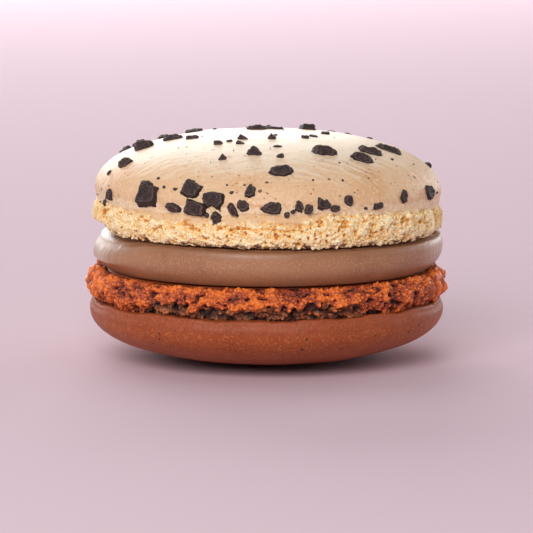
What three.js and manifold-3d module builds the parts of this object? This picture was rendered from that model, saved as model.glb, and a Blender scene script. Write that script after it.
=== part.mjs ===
// A French macaron, in millimetres with +Z up: two baked almond shells held together by a
// disc of chocolate ganache. It stands on the crown of the lower shell, and the origin is
// the middle of the small flat spot there. The upper shell carries shards of dark cookie.
import * as THREE from "three";
import { mergeVertices } from "three/addons/utils/BufferGeometryUtils.js";
import Module from "manifold-3d";

const wasm = await Module();
wasm.setup();

const { clamp, degToRad, lerp, smoothstep } = THREE.MathUtils;

// Each shell is described from its bond face, where it meets the ganache, out to its crown:
// a craggy foot, a waist where the foot tucks in, a lip, and a smooth dome. The foot is open
// crumb, and over part of its height a baked crust stands out past the crumb.
const lowerShell = {
  bondRadius: 21.3,
  footRadius: 22.75,
  footRoundness: 0.6,
  waistRadius: 21.5,
  waistHeight: 3.5,
  lipRadius: 22.25,
  lipHeight: 4.2,
  domeRadius: 22.5,
  equatorHeight: 5.0,
  domeHeight: 6.65,
  fullness: 2.2,
  crownCut: 0.15,
  footRise: 0,
  lump: { size: 1.9, depth: 0.9, grain: 0.35 },
  crust: { share: 0.62, sway: 0.3, swaySize: 3.4, stand: 0.35 },
};
const upperShell = {
  bondRadius: 21.4,
  footRadius: 22.2,
  footRoundness: 0.55,
  waistRadius: 21.75,
  waistHeight: 2.8,
  lipRadius: 21.75,
  lipHeight: 3.2,
  domeRadius: 21.95,
  equatorHeight: 4.6,
  domeHeight: 7.6,
  fullness: 2.2,
  crownCut: 0,
  footRise: 1.0,
  lump: { size: 1.5, depth: 0.45, grain: 0.25 },
  crust: { share: 1.3, sway: 0, swaySize: 3.4, stand: 0 },
};
const ganache = {
  thickness: 4.5,
  footRadius: 20.7,
  bulgeRadius: 22.2,
  bulgeHeight: 2.5,
  shoulderHeight: 4.2,
  shoulderFullness: 3.4,
  neckRadius: 21.3,
  ripple: 0.08,
  rippleSize: 7,
};

const bondGap = 0.3; // left between a shell and the ganache
const upperLean = Math.tan(degToRad(0.7)); // the upper shell dips towards +X
const upperSlip = 0.2; // and it has slid that way with the ganache

// Heights of the three pieces above the table.
const lowerBond = lowerShell.equatorHeight + lowerShell.domeHeight - lowerShell.crownCut;
const ganacheBase = lowerBond + bondGap;
const ganacheTop = ganacheBase + ganache.thickness;
const upperBond = ganacheTop + bondGap;

// How finely the round forms are faceted.
const segments = 112;
const footRings = 8;
const domeRings = 8;
const ganacheSegments = 80;
const bulgeRings = 4;
const shoulderRings = 5;

// Outlines of broken cookie, as corners round a square one unit wide.
const plate = [
  [0.46, 0.08], [0.44, 0.34], [0.12, 0.4], [-0.34, 0.48], [-0.44, 0.4], [-0.42, 0], [-0.42, -0.42],
  [-0.24, -0.54], [0.2, -0.5], [0.3, -0.2],
];
const kite = [
  [0.5, 0.1], [0.3, 0.4], [0, 0.5], [-0.42, 0.42], [-0.5, 0], [-0.46, -0.36], [-0.1, -0.5], [0.28, -0.3],
];
const block = [
  [0.5, 0.32], [0.1, 0.44], [-0.44, 0.5], [-0.5, -0.36], [0, -0.5], [0.46, -0.38],
];
const oval = [
  [0.5, 0], [0.36, 0.34], [0, 0.48], [-0.38, 0.4], [-0.5, 0], [-0.32, -0.4], [0.04, -0.5], [0.38, -0.34],
];
const notched = [
  [0.5, -0.09], [0.44, 0.36], [-0.08, 0.48], [-0.42, 0.3], [-0.5, 0], [-0.2, -0.42], [-0.03, -0.26], [0.34, -0.5],
];
const wedge = [
  [0.5, -0.06], [0.12, 0.3], [-0.4, 0.5], [-0.5, 0.1], [-0.4, -0.42], [0.1, -0.5],
];
const slab = [
  [0.5, 0.16], [0.2, 0.5], [-0.26, 0.34], [-0.5, 0.4], [-0.42, -0.3], [0, -0.5], [0.42, -0.34],
];
const shardForms = [kite, block, oval, notched, wedge, slab];

// Cookie shards on the near half of the upper shell: degrees round from +X, distance from the
// crown along the skin, length, width, turn from the line across the front, tip forwards, outline.
const nearShards = [
  [-133, 23.5, 3.5, 3.3, 78, 0, plate],
  [-169, 16.2, 2.4, 2.3, 10, 35, block],
  [-157, 19.9, 2.2, 1.9, 5, 20, oval],
  [-154, 24.5, 1.6, 1.5, 85, 0, wedge],
  [171, 18.8, 1.7, 1.3, 0, 25, slab],
  [170, 17.0, 1.6, 1.2, 0, 25, block],
  [-171, 12.2, 2.7, 1.6, 0, 25, slab],
  [164, 14.0, 1.4, 1.0, 0, 15, oval],
  [-158, 10.4, 1.7, 1.0, 0, 25, block],
  [157, 10.3, 2.3, 1.2, 0, 12, slab],
  [-116, 22.5, 2.6, 2.3, -25, 5, block],
  [-108, 23.7, 2.9, 2.5, -5, 0, notched],
  [-114, 24.8, 2.9, 2.0, -5, 0, block],
  [-122, 25.0, 2.3, 1.2, 0, 0, oval],
  [-107, 25.9, 1.6, 1.5, -60, 0, notched],
  [-101, 24.9, 1.9, 1.1, -50, 0, wedge],
  [-98, 24.2, 1.6, 1.4, -20, 0, oval],
  [-96, 22.3, 2.0, 1.4, 88, 5, wedge],
  [-89, 24.4, 2.6, 1.5, 180, 0, kite],
  [-80, 24.2, 1.5, 1.1, 82, 0, kite],
  [-77, 24.6, 1.3, 1.2, 90, 0, oval],
  [-72, 24.0, 1.9, 1.6, 178, 0, notched],
  [-68, 24.6, 1.3, 0.9, 12, 0, oval],
  [-63, 23.7, 1.4, 1.2, 60, 0, kite],
  [-52, 24.6, 1.4, 0.9, 10, 0, block],
  [-40, 23.7, 1.8, 1.4, 82, 0, wedge],
  [-23, 23.9, 2.4, 1.9, 20, 0, oval],
  [-85, 18.9, 3.2, 2.1, 14, 8, oval],
  [-97, 14.0, 2.1, 1.9, 90, 40, kite],
  [-111, 15.9, 1.3, 1.1, 90, 25, wedge],
  [-84, 14.9, 1.1, 0.9, 50, 30, wedge],
  [-125, 10.9, 1.1, 0.9, 0, 40, block],
  [-114, 7.6, 1.5, 1.1, -20, 40, wedge],
  [-110, 10.1, 1.3, 0.8, -20, 20, wedge],
  [-87, 7.0, 1.5, 1.3, 90, 55, wedge],
  [125, 2.5, 2.3, 1.3, 0, 40, slab],
  [75, 3.2, 2.3, 0.9, 0, 0, slab],
  [-51, 7.4, 1.1, 0.9, 0, 30, block],
  [-36, 7.0, 1.3, 0.7, -20, 10, slab],
  [2, 7.3, 1.1, 0.8, 10, 10, block],
  [-60, 14.2, 3.1, 2.3, -3, 33, kite],
  [-45, 16.7, 3.0, 1.9, -6, 25, oval],
  [-32, 15.2, 3.1, 1.8, -8, 20, slab],
  [-14, 15.9, 3.3, 1.8, -5, 25, slab],
];
// Shards on the far half, scattered by rule. The largest come first.
const farShards = {
  count: 22,
  tries: 400,
  fromDegrees: 5,
  toDegrees: 170,
  fromCrown: 5,
  toCrown: 25,
  longest: 3.3,
  shortest: 1.3,
  narrowest: 0.6,
  widest: 0.9,
  mostTip: -30,
  clearance: 2.6,
  seed: 11,
};
const shardThinnest = 0.25;
const shardThickness = 0.34; // further thickness, as a share of the shard's width
const shardShown = 0.5; // share of the thickness that stands out of the skin
const shardTop = 0.86; // size of a shard's top as a share of its base

const skinSteps = 400; // how finely lengths along the skin are measured
const crumbHeart = 0.45; // level of a crumb that leaves the foot where it is
const unevenHeart = 0.5; // middle of the uneven field

// A repeatable number from 0 to 1 for three whole numbers.
function drawAt(i, j, k) {
  const mixed = Math.sin(i * 127.1 + j * 311.7 + k * 74.7) * 43758.5453;
  return mixed - Math.floor(mixed);
}

// A repeatable run of numbers from 0 to 1.
function drawsFrom(seed) {
  let step = 0;
  return () => drawAt(seed, (step += 1), seed * 3);
}

// Smooth uneven field from 0 to 1, with features about one unit across.
function unevenness(p) {
  const low = p.clone().floor();
  const part = p.clone().sub(low);
  const ease = part.toArray().map((t) => t * t * (3 - 2 * t));
  let sum = 0;
  for (let corner = 0; corner < 8; corner++) {
    const step = [corner & 1, (corner >> 1) & 1, corner >> 2];
    const share = step.reduce((w, on, axis) => w * (on ? ease[axis] : 1 - ease[axis]), 1);
    sum += share * drawAt(low.x + step[0], low.y + step[1], low.z + step[2]);
  }
  return sum;
}

// Rounded crumbs packed one to a unit cell: 1 at the heart of a crumb, falling to 0 between them.
function crumbs(p) {
  const low = p.clone().floor();
  let nearest = Infinity;
  for (let n = 0; n < 27; n++) {
    const cell = new THREE.Vector3((n % 3) - 1, (Math.floor(n / 3) % 3) - 1, Math.floor(n / 9) - 1);
    cell.add(low);
    const heart = new THREE.Vector3(
      cell.x + drawAt(cell.x, cell.y, cell.z),
      cell.y + drawAt(cell.y, cell.z, cell.x),
      cell.z + drawAt(cell.z, cell.x, cell.y),
    );
    nearest = Math.min(nearest, heart.distanceTo(p));
  }
  return Math.max(0, 1 - nearest);
}

// Half of a shell's section, from the middle of the bond face out over the foot to the crown.
function shellSection(shell) {
  const section = [new THREE.Vector2(0, 0)];
  for (let ring = 0; ring <= footRings; ring++) {
    const share = ring / footRings;
    const straight = lerp(shell.bondRadius, shell.waistRadius, share);
    const swell = Math.sin(Math.PI * share) ** shell.footRoundness;
    section.push(new THREE.Vector2(lerp(straight, shell.footRadius, swell), shell.waistHeight * share));
  }
  section.push(new THREE.Vector2(shell.lipRadius, shell.lipHeight));
  for (let ring = 0; ring <= domeRings; ring++) {
    section.push(domePoint(shell, (Math.PI / 2) * (1 - ring / domeRings)));
  }
  return section;
}

// A point of the dome's section, by its angle from the crown's axis, 0 at the crown.
function domePoint(shell, angle) {
  const power = 2 / shell.fullness;
  const radius = shell.domeRadius * Math.max(0, Math.sin(angle)) ** power;
  const rise = shell.domeHeight * Math.max(0, Math.cos(angle)) ** power;
  const crown = shell.domeHeight - shell.crownCut;
  return new THREE.Vector2(radius, shell.equatorHeight + Math.min(rise, crown));
}

// Half of the ganache's section: out from its base over the bulge, and in over a round shoulder.
function ganacheSection() {
  const { footRadius, bulgeRadius, bulgeHeight, shoulderHeight, neckRadius } = ganache;
  const section = [new THREE.Vector2(0, 0)];
  for (let ring = 0; ring < bulgeRings; ring++) {
    const share = ring / bulgeRings;
    const swell = Math.sin((Math.PI / 2) * share);
    section.push(new THREE.Vector2(lerp(footRadius, bulgeRadius, swell), bulgeHeight * share));
  }
  const power = 2 / ganache.shoulderFullness;
  for (let ring = 0; ring <= shoulderRings; ring++) {
    const angle = ((Math.PI / 2) * ring) / shoulderRings;
    const reach = Math.max(0, Math.cos(angle)) ** power;
    const height = lerp(bulgeHeight, shoulderHeight, Math.sin(angle) ** power);
    section.push(new THREE.Vector2(lerp(neckRadius, bulgeRadius, reach), height));
  }
  section.push(new THREE.Vector2(neckRadius, ganache.thickness));
  section.push(new THREE.Vector2(0, ganache.thickness));
  return section;
}

// A section turned about the vertical axis, as a closed mesh with its corners shared.
function turned(section, count) {
  return bare(new THREE.LatheGeometry(section, count).rotateX(Math.PI / 2));
}

// A geometry with nothing but its corners, each shared by the faces that meet there.
function bare(geometry) {
  geometry.deleteAttribute("normal");
  geometry.deleteAttribute("uv");
  return mergeVertices(geometry, 1e-4);
}

// Moves each corner of a mesh to where the rule puts it.
function reshape(geometry, rule) {
  const position = geometry.getAttribute("position");
  const corner = new THREE.Vector3();
  for (let i = 0; i < position.count; i++) {
    rule(corner.fromBufferAttribute(position, i));
    position.setXYZ(i, corner.x, corner.y, corner.z);
  }
  return geometry;
}

// Pushes the foot of a shell in and out by its crumbs, and lets the crust stand out over the
// crumb down to a ragged edge. The bond face and the dome stay smooth.
function roughenFoot({ lump, crust, ...shell }, corner) {
  const rise = smoothstep(corner.z, 0.1, 0.8);
  const fall = 1 - smoothstep(corner.z, shell.waistHeight, shell.lipHeight);
  const reach = Math.hypot(corner.x, corner.y) || 1;
  const edge = smoothstep(reach, 0.9 * shell.bondRadius, shell.bondRadius);
  const around = new THREE.Vector3(corner.x, corner.y, 0).divideScalar(crust.swaySize);
  const sway = 2 * crust.sway * (unevenness(around) - unevenHeart);
  const crustEdge = (crust.share + sway) * shell.waistHeight;
  const crusted = 1 - smoothstep(corner.z, crustEdge - 0.3, crustEdge + 0.3);
  const lumps = crumbs(corner.clone().divideScalar(lump.size)) - crumbHeart;
  const fine = unevenness(corner.clone().multiplyScalar(3 / lump.size)) - unevenHeart;
  const stand = crust.stand * (crusted - unevenHeart);
  const push = rise * fall * edge * (lump.depth * lumps + lump.grain * fine + stand);
  corner.x *= 1 + push / reach;
  corner.y *= 1 + push / reach;
}

// Lifts the seam between foot and skin where the foot has risen more: most in front, least at
// the sides.
function raiseSeam(shell, corner) {
  const turn = Math.atan2(corner.y, corner.x);
  const share = 0.54 - 0.26 * Math.sin(turn) - 0.19 * Math.cos(2 * turn) - 0.15 * Math.cos(3 * turn);
  const below = smoothstep(corner.z, 0.2, shell.lipHeight);
  const above = 1 - smoothstep(corner.z, shell.lipHeight, shell.lipHeight + 3.4);
  corner.z += shell.footRise * share * below * above;
}

// The upper half of the sandwich leans a little and has slid aside, and the ganache takes up the
// difference.
function lean(corner) {
  const share = clamp((corner.z - ganacheBase) / ganache.thickness, 0, 1);
  corner.z -= upperLean * corner.x * share;
  corner.x += upperSlip;
}

// Length along the skin from the crown, as a table that shards are placed by.
function skinTable(shell) {
  const table = [];
  let length = 0;
  for (let i = 0; i <= skinSteps; i++) {
    const point = domePoint(shell, ((Math.PI / 2) * i) / skinSteps);
    const last = table.at(-1);
    if (last) length += point.distanceTo(last.point);
    table.push({ point, length });
  }
  const lip = new THREE.Vector2(shell.lipRadius, shell.lipHeight);
  table.push({ point: lip, length: length + lip.distanceTo(table.at(-1).point) });
  return table;
}

// Place and outward direction on the skin, at a length from the crown and degrees round.
function onSkin(table, fromCrown, degrees) {
  const next = Math.max(1, table.findIndex((entry) => entry.length >= fromCrown));
  const [a, b] = [table[next - 1], table[next]];
  const share = (fromCrown - a.length) / (b.length - a.length);
  const middle = a.point.clone().lerp(b.point, share);
  const along = b.point.clone().sub(a.point);
  const round = degToRad(degrees);
  const [c, s] = [Math.cos(round), Math.sin(round)];
  return {
    place: new THREE.Vector3(middle.x * c, middle.x * s, middle.y),
    outward: new THREE.Vector3(-along.y * c, -along.y * s, along.x).normalize(),
    level: new THREE.Vector3(-s, c, 0),
  };
}

// One broken shard: a flat prism on its outline, a little smaller at the top.
function shard(length, width, thickness, outline) {
  const shape = new THREE.Shape(outline.map(([x, y]) => new THREE.Vector2(x * length, y * width)));
  const prism = new THREE.ExtrudeGeometry(shape, { depth: thickness, bevelEnabled: false });
  return reshape(bare(prism), (corner) => {
    const grown = lerp(1, shardTop, corner.z / thickness);
    corner.set(corner.x * grown, corner.y * grown, corner.z - 0.5 * thickness);
  });
}

// A shard laid on the skin, sunk in by part of its thickness, turned and tipped forwards.
function laidShard(table, [degrees, fromCrown, length, width, turn, tip, outline]) {
  const { place, outward, level } = onSkin(table, fromCrown, degrees);
  const upward = new THREE.Vector3().crossVectors(outward, level);
  const thickness = shardThinnest + shardThickness * width;
  const across = degToRad(turn - (degrees + 90) * outward.z);
  const lift = place.addScaledVector(outward, (shardShown - 0.5) * thickness);
  const stand = new THREE.Matrix4()
    .makeTranslation(lift)
    .multiply(new THREE.Matrix4().makeRotationX(degToRad(tip)))
    .multiply(new THREE.Matrix4().makeBasis(level, upward, outward))
    .multiply(new THREE.Matrix4().makeRotationZ(across));
  return shard(length, width, thickness, outline).applyMatrix4(stand);
}

// Shards for the far half: each takes a free spot at least the clearance away from the others.
function scatteredShards(table, taken) {
  const draw = drawsFrom(farShards.seed);
  const spots = taken.map(([degrees, fromCrown]) => onSkin(table, fromCrown, degrees).place);
  const made = [];
  for (let tries = 0; made.length < farShards.count && tries < farShards.tries; tries++) {
    const share = made.length / (farShards.count - 1);
    const degrees = lerp(farShards.fromDegrees, farShards.toDegrees, draw());
    const fromCrown = lerp(farShards.fromCrown, farShards.toCrown, Math.sqrt(draw()));
    const { place } = onSkin(table, fromCrown, degrees);
    if (spots.some((spot) => spot.distanceTo(place) < farShards.clearance)) continue;
    spots.push(place);
    const length = lerp(farShards.longest, farShards.shortest, share);
    const width = length * lerp(farShards.narrowest, farShards.widest, draw());
    const turn = 360 * draw();
    const tip = farShards.mostTip * draw();
    const outline = shardForms[Math.floor(draw() * shardForms.length)];
    made.push([degrees, fromCrown, length, width, turn, tip, outline]);
  }
  return made;
}

function solidOf(geometry) {
  return new wasm.Manifold(
    new wasm.Mesh({
      numProp: 3,
      vertProperties: geometry.getAttribute("position").array,
      triVerts: new Uint32Array(geometry.index.array),
    }),
  );
}

function geometryOf(solid) {
  const { vertProperties, triVerts } = solid.getMesh();
  return new THREE.BufferGeometry()
    .setAttribute("position", new THREE.BufferAttribute(vertProperties, 3))
    .setIndex(new THREE.BufferAttribute(triVerts, 1));
}

// One baked shell with its bond face down, as it lies in its own frame.
function bakedShell(shell) {
  return reshape(turned(shellSection(shell), segments), (corner) => {
    roughenFoot(shell, corner);
    raiseSeam(shell, corner);
  });
}

function makeLowerShell() {
  const geometry = bakedShell(lowerShell).rotateX(Math.PI).translate(0, 0, lowerBond);
  return piece("bottom_shell", geometry, { color: 0x9c5238, roughness: 0.75 });
}

function makeGanache() {
  const geometry = reshape(turned(ganacheSection(), ganacheSegments), (corner) => {
    const wave = unevenness(corner.clone().divideScalar(ganache.rippleSize)) - unevenHeart;
    const grown = 1 + (2 * ganache.ripple * wave) / ganache.bulgeRadius;
    corner.set(corner.x * grown, corner.y * grown, corner.z + ganacheBase);
    lean(corner);
  });
  return piece("ganache_filling", geometry, { color: 0xa58066, roughness: 0.45 });
}

function makeUpperShell() {
  const table = skinTable(upperShell);
  const shards = [...nearShards, ...scatteredShards(table, nearShards)];
  const solids = shards.map((entry) => solidOf(laidShard(table, entry)));
  const joined = wasm.Manifold.union([solidOf(bakedShell(upperShell)), ...solids]);
  const geometry = reshape(geometryOf(joined).translate(0, 0, upperBond), lean);
  return piece("top_shell", geometry, { color: 0xe8d3b4, roughness: 0.7 });
}

function piece(name, geometry, finish) {
  const material = new THREE.MeshStandardMaterial({ metalness: 0, ...finish });
  const mesh = new THREE.Mesh(geometry, material);
  mesh.name = name;
  return mesh;
}

const macaron = new THREE.Group();
macaron.add(makeLowerShell(), makeGanache(), makeUpperShell());

export default macaron;
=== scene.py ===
"""Dresses a French macaron: two almond shells, a ganache layer and baked-in cookie shards.

Forms are built in millimetres, each shell in its own frame with the bond face at the bottom,
and are scaled to metres when they are set in the macaron. +Z is up and -Y faces the camera.
"""

import logging
import math
import sys
from dataclasses import dataclass
from enum import Enum
from functools import cache
from typing import Callable, Iterator

import bmesh
import bpy
from mathutils import Matrix, Vector, noise

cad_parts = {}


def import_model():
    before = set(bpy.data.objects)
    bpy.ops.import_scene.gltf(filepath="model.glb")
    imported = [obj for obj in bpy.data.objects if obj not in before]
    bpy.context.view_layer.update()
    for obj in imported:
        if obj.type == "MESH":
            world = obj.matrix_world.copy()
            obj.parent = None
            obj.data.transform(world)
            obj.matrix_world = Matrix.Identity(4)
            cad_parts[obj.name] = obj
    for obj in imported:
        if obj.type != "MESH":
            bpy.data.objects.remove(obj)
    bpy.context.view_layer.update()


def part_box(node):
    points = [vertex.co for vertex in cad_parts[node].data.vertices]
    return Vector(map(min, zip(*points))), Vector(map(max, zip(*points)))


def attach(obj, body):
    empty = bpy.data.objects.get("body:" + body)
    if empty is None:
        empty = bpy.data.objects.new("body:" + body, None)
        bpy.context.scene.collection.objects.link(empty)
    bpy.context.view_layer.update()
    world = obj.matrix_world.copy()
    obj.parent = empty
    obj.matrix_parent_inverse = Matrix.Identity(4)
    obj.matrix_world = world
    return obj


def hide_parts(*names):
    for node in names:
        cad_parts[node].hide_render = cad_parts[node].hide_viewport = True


LOG = logging.getLogger("macaron")
MM = 0.001
BODY = "root"
MERGE_MM = 1e-5
QUARTER = math.pi / 2
HASH_WEIGHTS = (127.1, 311.7, 74.7)
HASH_SPREAD = 43758.5453
NOISE_SEED = 5

Colour = tuple[float, float, float, float]
Section = list[tuple[float, float]]
Triple = tuple[float, float, float]
Facets = tuple[int, int]
Place = Callable[[Vector], Vector]
Socket = bpy.types.NodeSocket


def blend(low: float, high: float, share: float) -> float:
    """Returns the value that lies at a share of the way from low to high."""
    return low + (high - low) * share


def ease(low: float, high: float, value: float) -> float:
    """Returns 0 below low and 1 above high, with a smooth rise between them."""
    share = min(1.0, max(0.0, (value - low) / (high - low)))
    return share * share * (3 - 2 * share)


def bumps(place: Vector, size: float, shift: Triple = (0, 0, 0)) -> float:
    """Returns noise from about -1 to 1, with features of a size in the units of place."""
    return noise.noise(place / size + Vector(shift))


def linear(red: int, green: int, blue: int) -> Colour:
    """Turns a screen colour into the linear colour that a shader takes.

    Args:
        red: the red channel, 0 to 255.
        green: the green channel.
        blue: the blue channel.

    Returns:
        The colour, with full alpha.
    """

    def channel(value: int) -> float:
        """Turns one channel."""
        share = value / 255
        return share / 12.92 if share <= 0.04045 else ((share + 0.055) / 1.055) ** 2.4

    return (channel(red), channel(green), channel(blue), 1.0)


def draws_from(seed: int) -> Iterator[float]:
    """Yields a repeatable run of numbers from 0 to 1.

    Args:
        seed: picks the run.

    Returns:
        An endless iterator.
    """
    step = 0
    while True:
        step += 1
        whole = (seed, step, seed * 3)
        mixed = math.sin(sum(part * weight for part, weight in zip(whole, HASH_WEIGHTS))) * HASH_SPREAD
        yield mixed - math.floor(mixed)


@dataclass(frozen=True)
class ShellForm:
    """Section of one baked shell, from its bond face out over the foot to the crown."""

    bond_radius: float
    foot_radius: float
    foot_roundness: float
    waist_radius: float
    waist_height: float
    lip_radius: float
    lip_height: float
    dome_radius: float
    equator_height: float
    dome_height: float
    fullness: float
    crown_cut: float
    foot_rise: float
    rise_fade: float = 3.4

    def foot_point(self, share: float) -> tuple[float, float]:
        """Places a point of the foot's outline.

        Args:
            share: 0 at the bond face, 1 at the waist.

        Returns:
            Radius and height above the bond face.
        """
        straight = blend(self.bond_radius, self.waist_radius, share)
        swell = max(0.0, math.sin(math.pi * share)) ** self.foot_roundness
        return blend(straight, self.foot_radius, swell), self.waist_height * share

    def dome_point(self, angle: float) -> tuple[float, float]:
        """Places a point of the dome's outline.

        Args:
            angle: 0 at the crown, a quarter turn at the equator.

        Returns:
            Radius and height above the bond face.
        """
        power = 2 / self.fullness
        radius = self.dome_radius * max(0.0, math.sin(angle)) ** power
        rise = self.dome_height * max(0.0, math.cos(angle)) ** power
        return radius, self.equator_height + min(rise, self.dome_height - self.crown_cut)

    def risen(self, place: Vector) -> Vector:
        """Lifts the seam between foot and skin where the foot has risen more.

        Args:
            place: a point of the evenly turned shell.

        Returns:
            The point after the rise, which is highest in front and least at the sides.
        """
        turn = math.atan2(place.y, place.x)
        share = 0.54 - 0.26 * math.sin(turn) - 0.19 * math.cos(2 * turn) - 0.15 * math.cos(3 * turn)
        above = ease(self.lip_height, self.lip_height + self.rise_fade, place.z)
        near = ease(0.2, self.lip_height, place.z) * (1 - above)
        return Vector((place.x, place.y, place.z + self.foot_rise * share * near))


@dataclass(frozen=True)
class Crumb:
    """How a foot's crust and the open crumb under it are built up, in millimetres and shares."""

    crust_share: float
    crust_sway: float
    crust_ends: float
    hollow: float
    lump_size: float
    lump_depth: float
    lump_tone: float
    grain_size: float
    grain_depth: float
    hole_size: float
    hole_depth: float
    hole_from: float
    hole_spread: float
    fold_size: float
    fold_depth: float
    fold_left: float
    slit_depth: float
    tear: float
    fray: float
    # how strongly darker patches break up the foot's lower edge
    dark_bits: float
    smear: float
    skinned: float
    crust_edge: float = 0.06
    sway_size: float = 2.6
    dark_bits_size: float = 0.9
    smear_depth: float = 0.9
    smear_size: float = 1.3
    drip_size: float = 1.4
    slit_size: float = 1.5
    slit_squeeze: float = 4.0
    fold_stretch: float = 0.45
    mean_granule: float = 0.6
    granule_reach: float = 0.95
    fine_size: float = 0.8
    finest_size: float = 0.4

    @staticmethod
    def forwards(place: Vector, x: float, y: float) -> float:
        """Returns how much a place faces the direction x, y, from -1 to 1."""
        return (x * place.x + y * place.y) / math.hypot(place.x, place.y)

    def crust(self, place: Vector, rise: float) -> float:
        """Tells crust from open crumb, which shows past the crust's ragged edge.

        Args:
            place: the point on the smooth foot.
            rise: 0 at the bond face, 1 at the waist.

        Returns:
            1 on the crust, 0 on the crumb.
        """
        around = Vector((place.x, place.y, 0.0))
        sway = bumps(around, self.sway_size, (0, 0, 9.3)) + 0.5 * bumps(place, self.fine_size)
        aside = ease(0.5, 0.8, abs(self.forwards(place, 1, 0) + 0.06))
        edge = self.crust_share + self.crust_sway * sway + self.crust_ends * aside
        # Darker patches along the foot's lower edge, where the open crumb's colours show.
        bits = ease(0.12, 0.26, bumps(place, self.dark_bits_size, (4, 4, 4))) * (1 - ease(0.1, 0.24, rise))
        clean = 1 - max(self.dark_bits * bits, self.smeared(place, rise))
        return clean * (1 - ease(edge - self.crust_edge, edge + self.crust_edge, rise))

    def smeared(self, place: Vector, rise: float) -> float:
        """Returns how far ganache has smeared the foot's lower edge at the -X end, from 0 to 1."""
        end = ease(0.9, 0.975, self.forwards(place, -1, 0) + 0.05 * bumps(place, self.smear_size))
        return self.smear * end * (1 - ease(0.22, 0.4, rise + 0.1 * bumps(place, self.fine_size)))

    def skin(self, place: Vector, rise: float) -> float:
        """Returns how far skin has run down over the foot's top, from 0 to 1, most in front.

        Args:
            place: the point on the smooth foot.
            rise: 0 at the bond face, 1 at the waist.

        Returns:
            The share of the surface that is skin.
        """
        front = ease(0.3, 0.85, self.forwards(place, 0, -1))
        front *= 1 - ease(0.1, 0.45, self.forwards(place, 1, 0))
        ragged = 0.16 * bumps(place, self.drip_size) + 0.1 * bumps(place, self.finest_size)
        edge = blend(1.15, 0.76, front) + ragged
        return self.skinned * ease(edge, edge + 0.14, rise)

    def calm(self, place: Vector) -> float:
        """Returns 1 at the macaron's two ends, where the crumb is smeared smooth, and 0 between."""
        return ease(0.84, 0.99, abs(self.forwards(place, 1, 0)))

    def shape(self, place: Vector, rise: float, crust: float) -> tuple[float, float]:
        """Builds the crumb at one place out of lumps, grains, holes, slits and, at the two ends, folds.

        Args:
            place: the point on the smooth foot.
            rise: 0 at the bond face, 1 at the waist.
            crust: 1 on the crust, 0 on the crumb.

        Returns:
            Millimetres outwards from the smooth foot, and the tone, 0 in a pit and 1 on a tip.
        """
        calm = self.calm(place)
        flat = Vector((place.x, place.y, place.z * blend(self.tear, 0.75, calm)))
        bent = flat + 0.35 * self.grain_size * noise.noise_vector(place / (1.6 * self.grain_size))
        lump = bumps(flat, self.lump_size) + 0.45 * bumps(flat, 0.45 * self.lump_size)
        grain = self.granule(bent / self.grain_size) - self.mean_granule
        hole_from = self.hole_from - self.hole_spread * ease(0.35, 0.8, rise)
        pocket = bumps(bent, self.hole_size, (7.1, 2.9, 3.3)) + 0.3 * grain
        hole = ease(hole_from, hole_from + 0.16, pocket) * (1 - 0.75 * calm)
        upright = Vector((place.x, place.y, self.fold_stretch * place.z + 7)) / self.fold_size
        left = ease(0.0, 0.5, self.forwards(place, -1, 0))
        fold = calm * blend(1.0, self.fold_left, left) * (self.granule(upright) - self.mean_granule)
        level = Vector((place.x, place.y, self.slit_squeeze * place.z))
        within = ease(0.45, 0.7, rise) * (1 - ease(0.9, 1.05, rise))
        slit = self.slit_depth * ease(0.2, 0.36, bumps(level, self.slit_size, (2.2, 6.1, 1.7))) * within
        detail = grain * (1 - 0.5 * calm)
        lift = self.lump_depth * lump + self.grain_depth * detail + self.fold_depth * fold
        lift -= self.hole_depth * hole + self.hollow * (1 - crust) + slit
        lift -= self.smear_depth * self.smeared(place, rise)
        lift *= 1 - 0.6 * self.skin(place, rise)
        # The tone darkens holes and slits and lightens lumps, grains and folds: partly the crumb's own
        # toasting, partly painted shade and light.
        tone = 0.55 + self.lump_tone * lump + 0.6 * detail + 0.7 * fold - 0.75 * hole - 1.6 * slit
        return lift, tone

    def granule(self, place: Vector) -> float:
        """Returns the height of rounded granules packed one to a unit cell, least in their creases.

        Args:
            place: the point, in granule widths.

        Returns:
            The height, from 0 to 1.
        """
        nearest, second = noise.voronoi(place)[0][:2]
        dome = math.sqrt(max(0.0, 1 - (nearest / self.granule_reach) ** 2))
        return dome * (0.4 + 0.6 * ease(0.0, 0.4, second - nearest))


LOWER_FORM = ShellForm(
    bond_radius=21.3, foot_radius=22.75, foot_roundness=0.6,
    waist_radius=21.5, waist_height=3.5, lip_radius=22.25, lip_height=4.2,
    dome_radius=22.5, equator_height=5.0, dome_height=6.65, fullness=2.2,
    crown_cut=0.15, foot_rise=0.0,
)
UPPER_FORM = ShellForm(
    bond_radius=21.4, foot_radius=22.2, foot_roundness=0.55,
    waist_radius=21.75, waist_height=2.8, lip_radius=21.75, lip_height=3.2,
    dome_radius=21.95, equator_height=4.6, dome_height=7.6, fullness=2.2,
    crown_cut=0.0, foot_rise=1.0,
)
LOWER_CRUMB = Crumb(
    crust_share=0.64, crust_sway=0.34, crust_ends=0.5, hollow=0.35,
    lump_size=1.7, lump_depth=0.5, lump_tone=0.55, grain_size=0.55, grain_depth=0.34,
    hole_size=0.9, hole_depth=0.7, hole_from=0.28, hole_spread=0.2,
    fold_size=1.25, fold_depth=0.55, fold_left=1.0, slit_depth=0.0,
    tear=1.2, fray=0.1, dark_bits=0.0, smear=0.0, skinned=0.0,
)
UPPER_CRUMB = Crumb(
    crust_share=1.6, crust_sway=0.0, crust_ends=0.0, hollow=0.0,
    lump_size=1.3, lump_depth=0.24, lump_tone=0.24, grain_size=0.46, grain_depth=0.2,
    hole_size=0.5, hole_depth=0.36, hole_from=0.32, hole_spread=0.0,
    fold_size=1.9, fold_depth=0.5, fold_left=0.25, slit_depth=0.3,
    tear=1.6, fray=0.3, dark_bits=1.0, smear=1.0, skinned=1.0,
)


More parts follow.
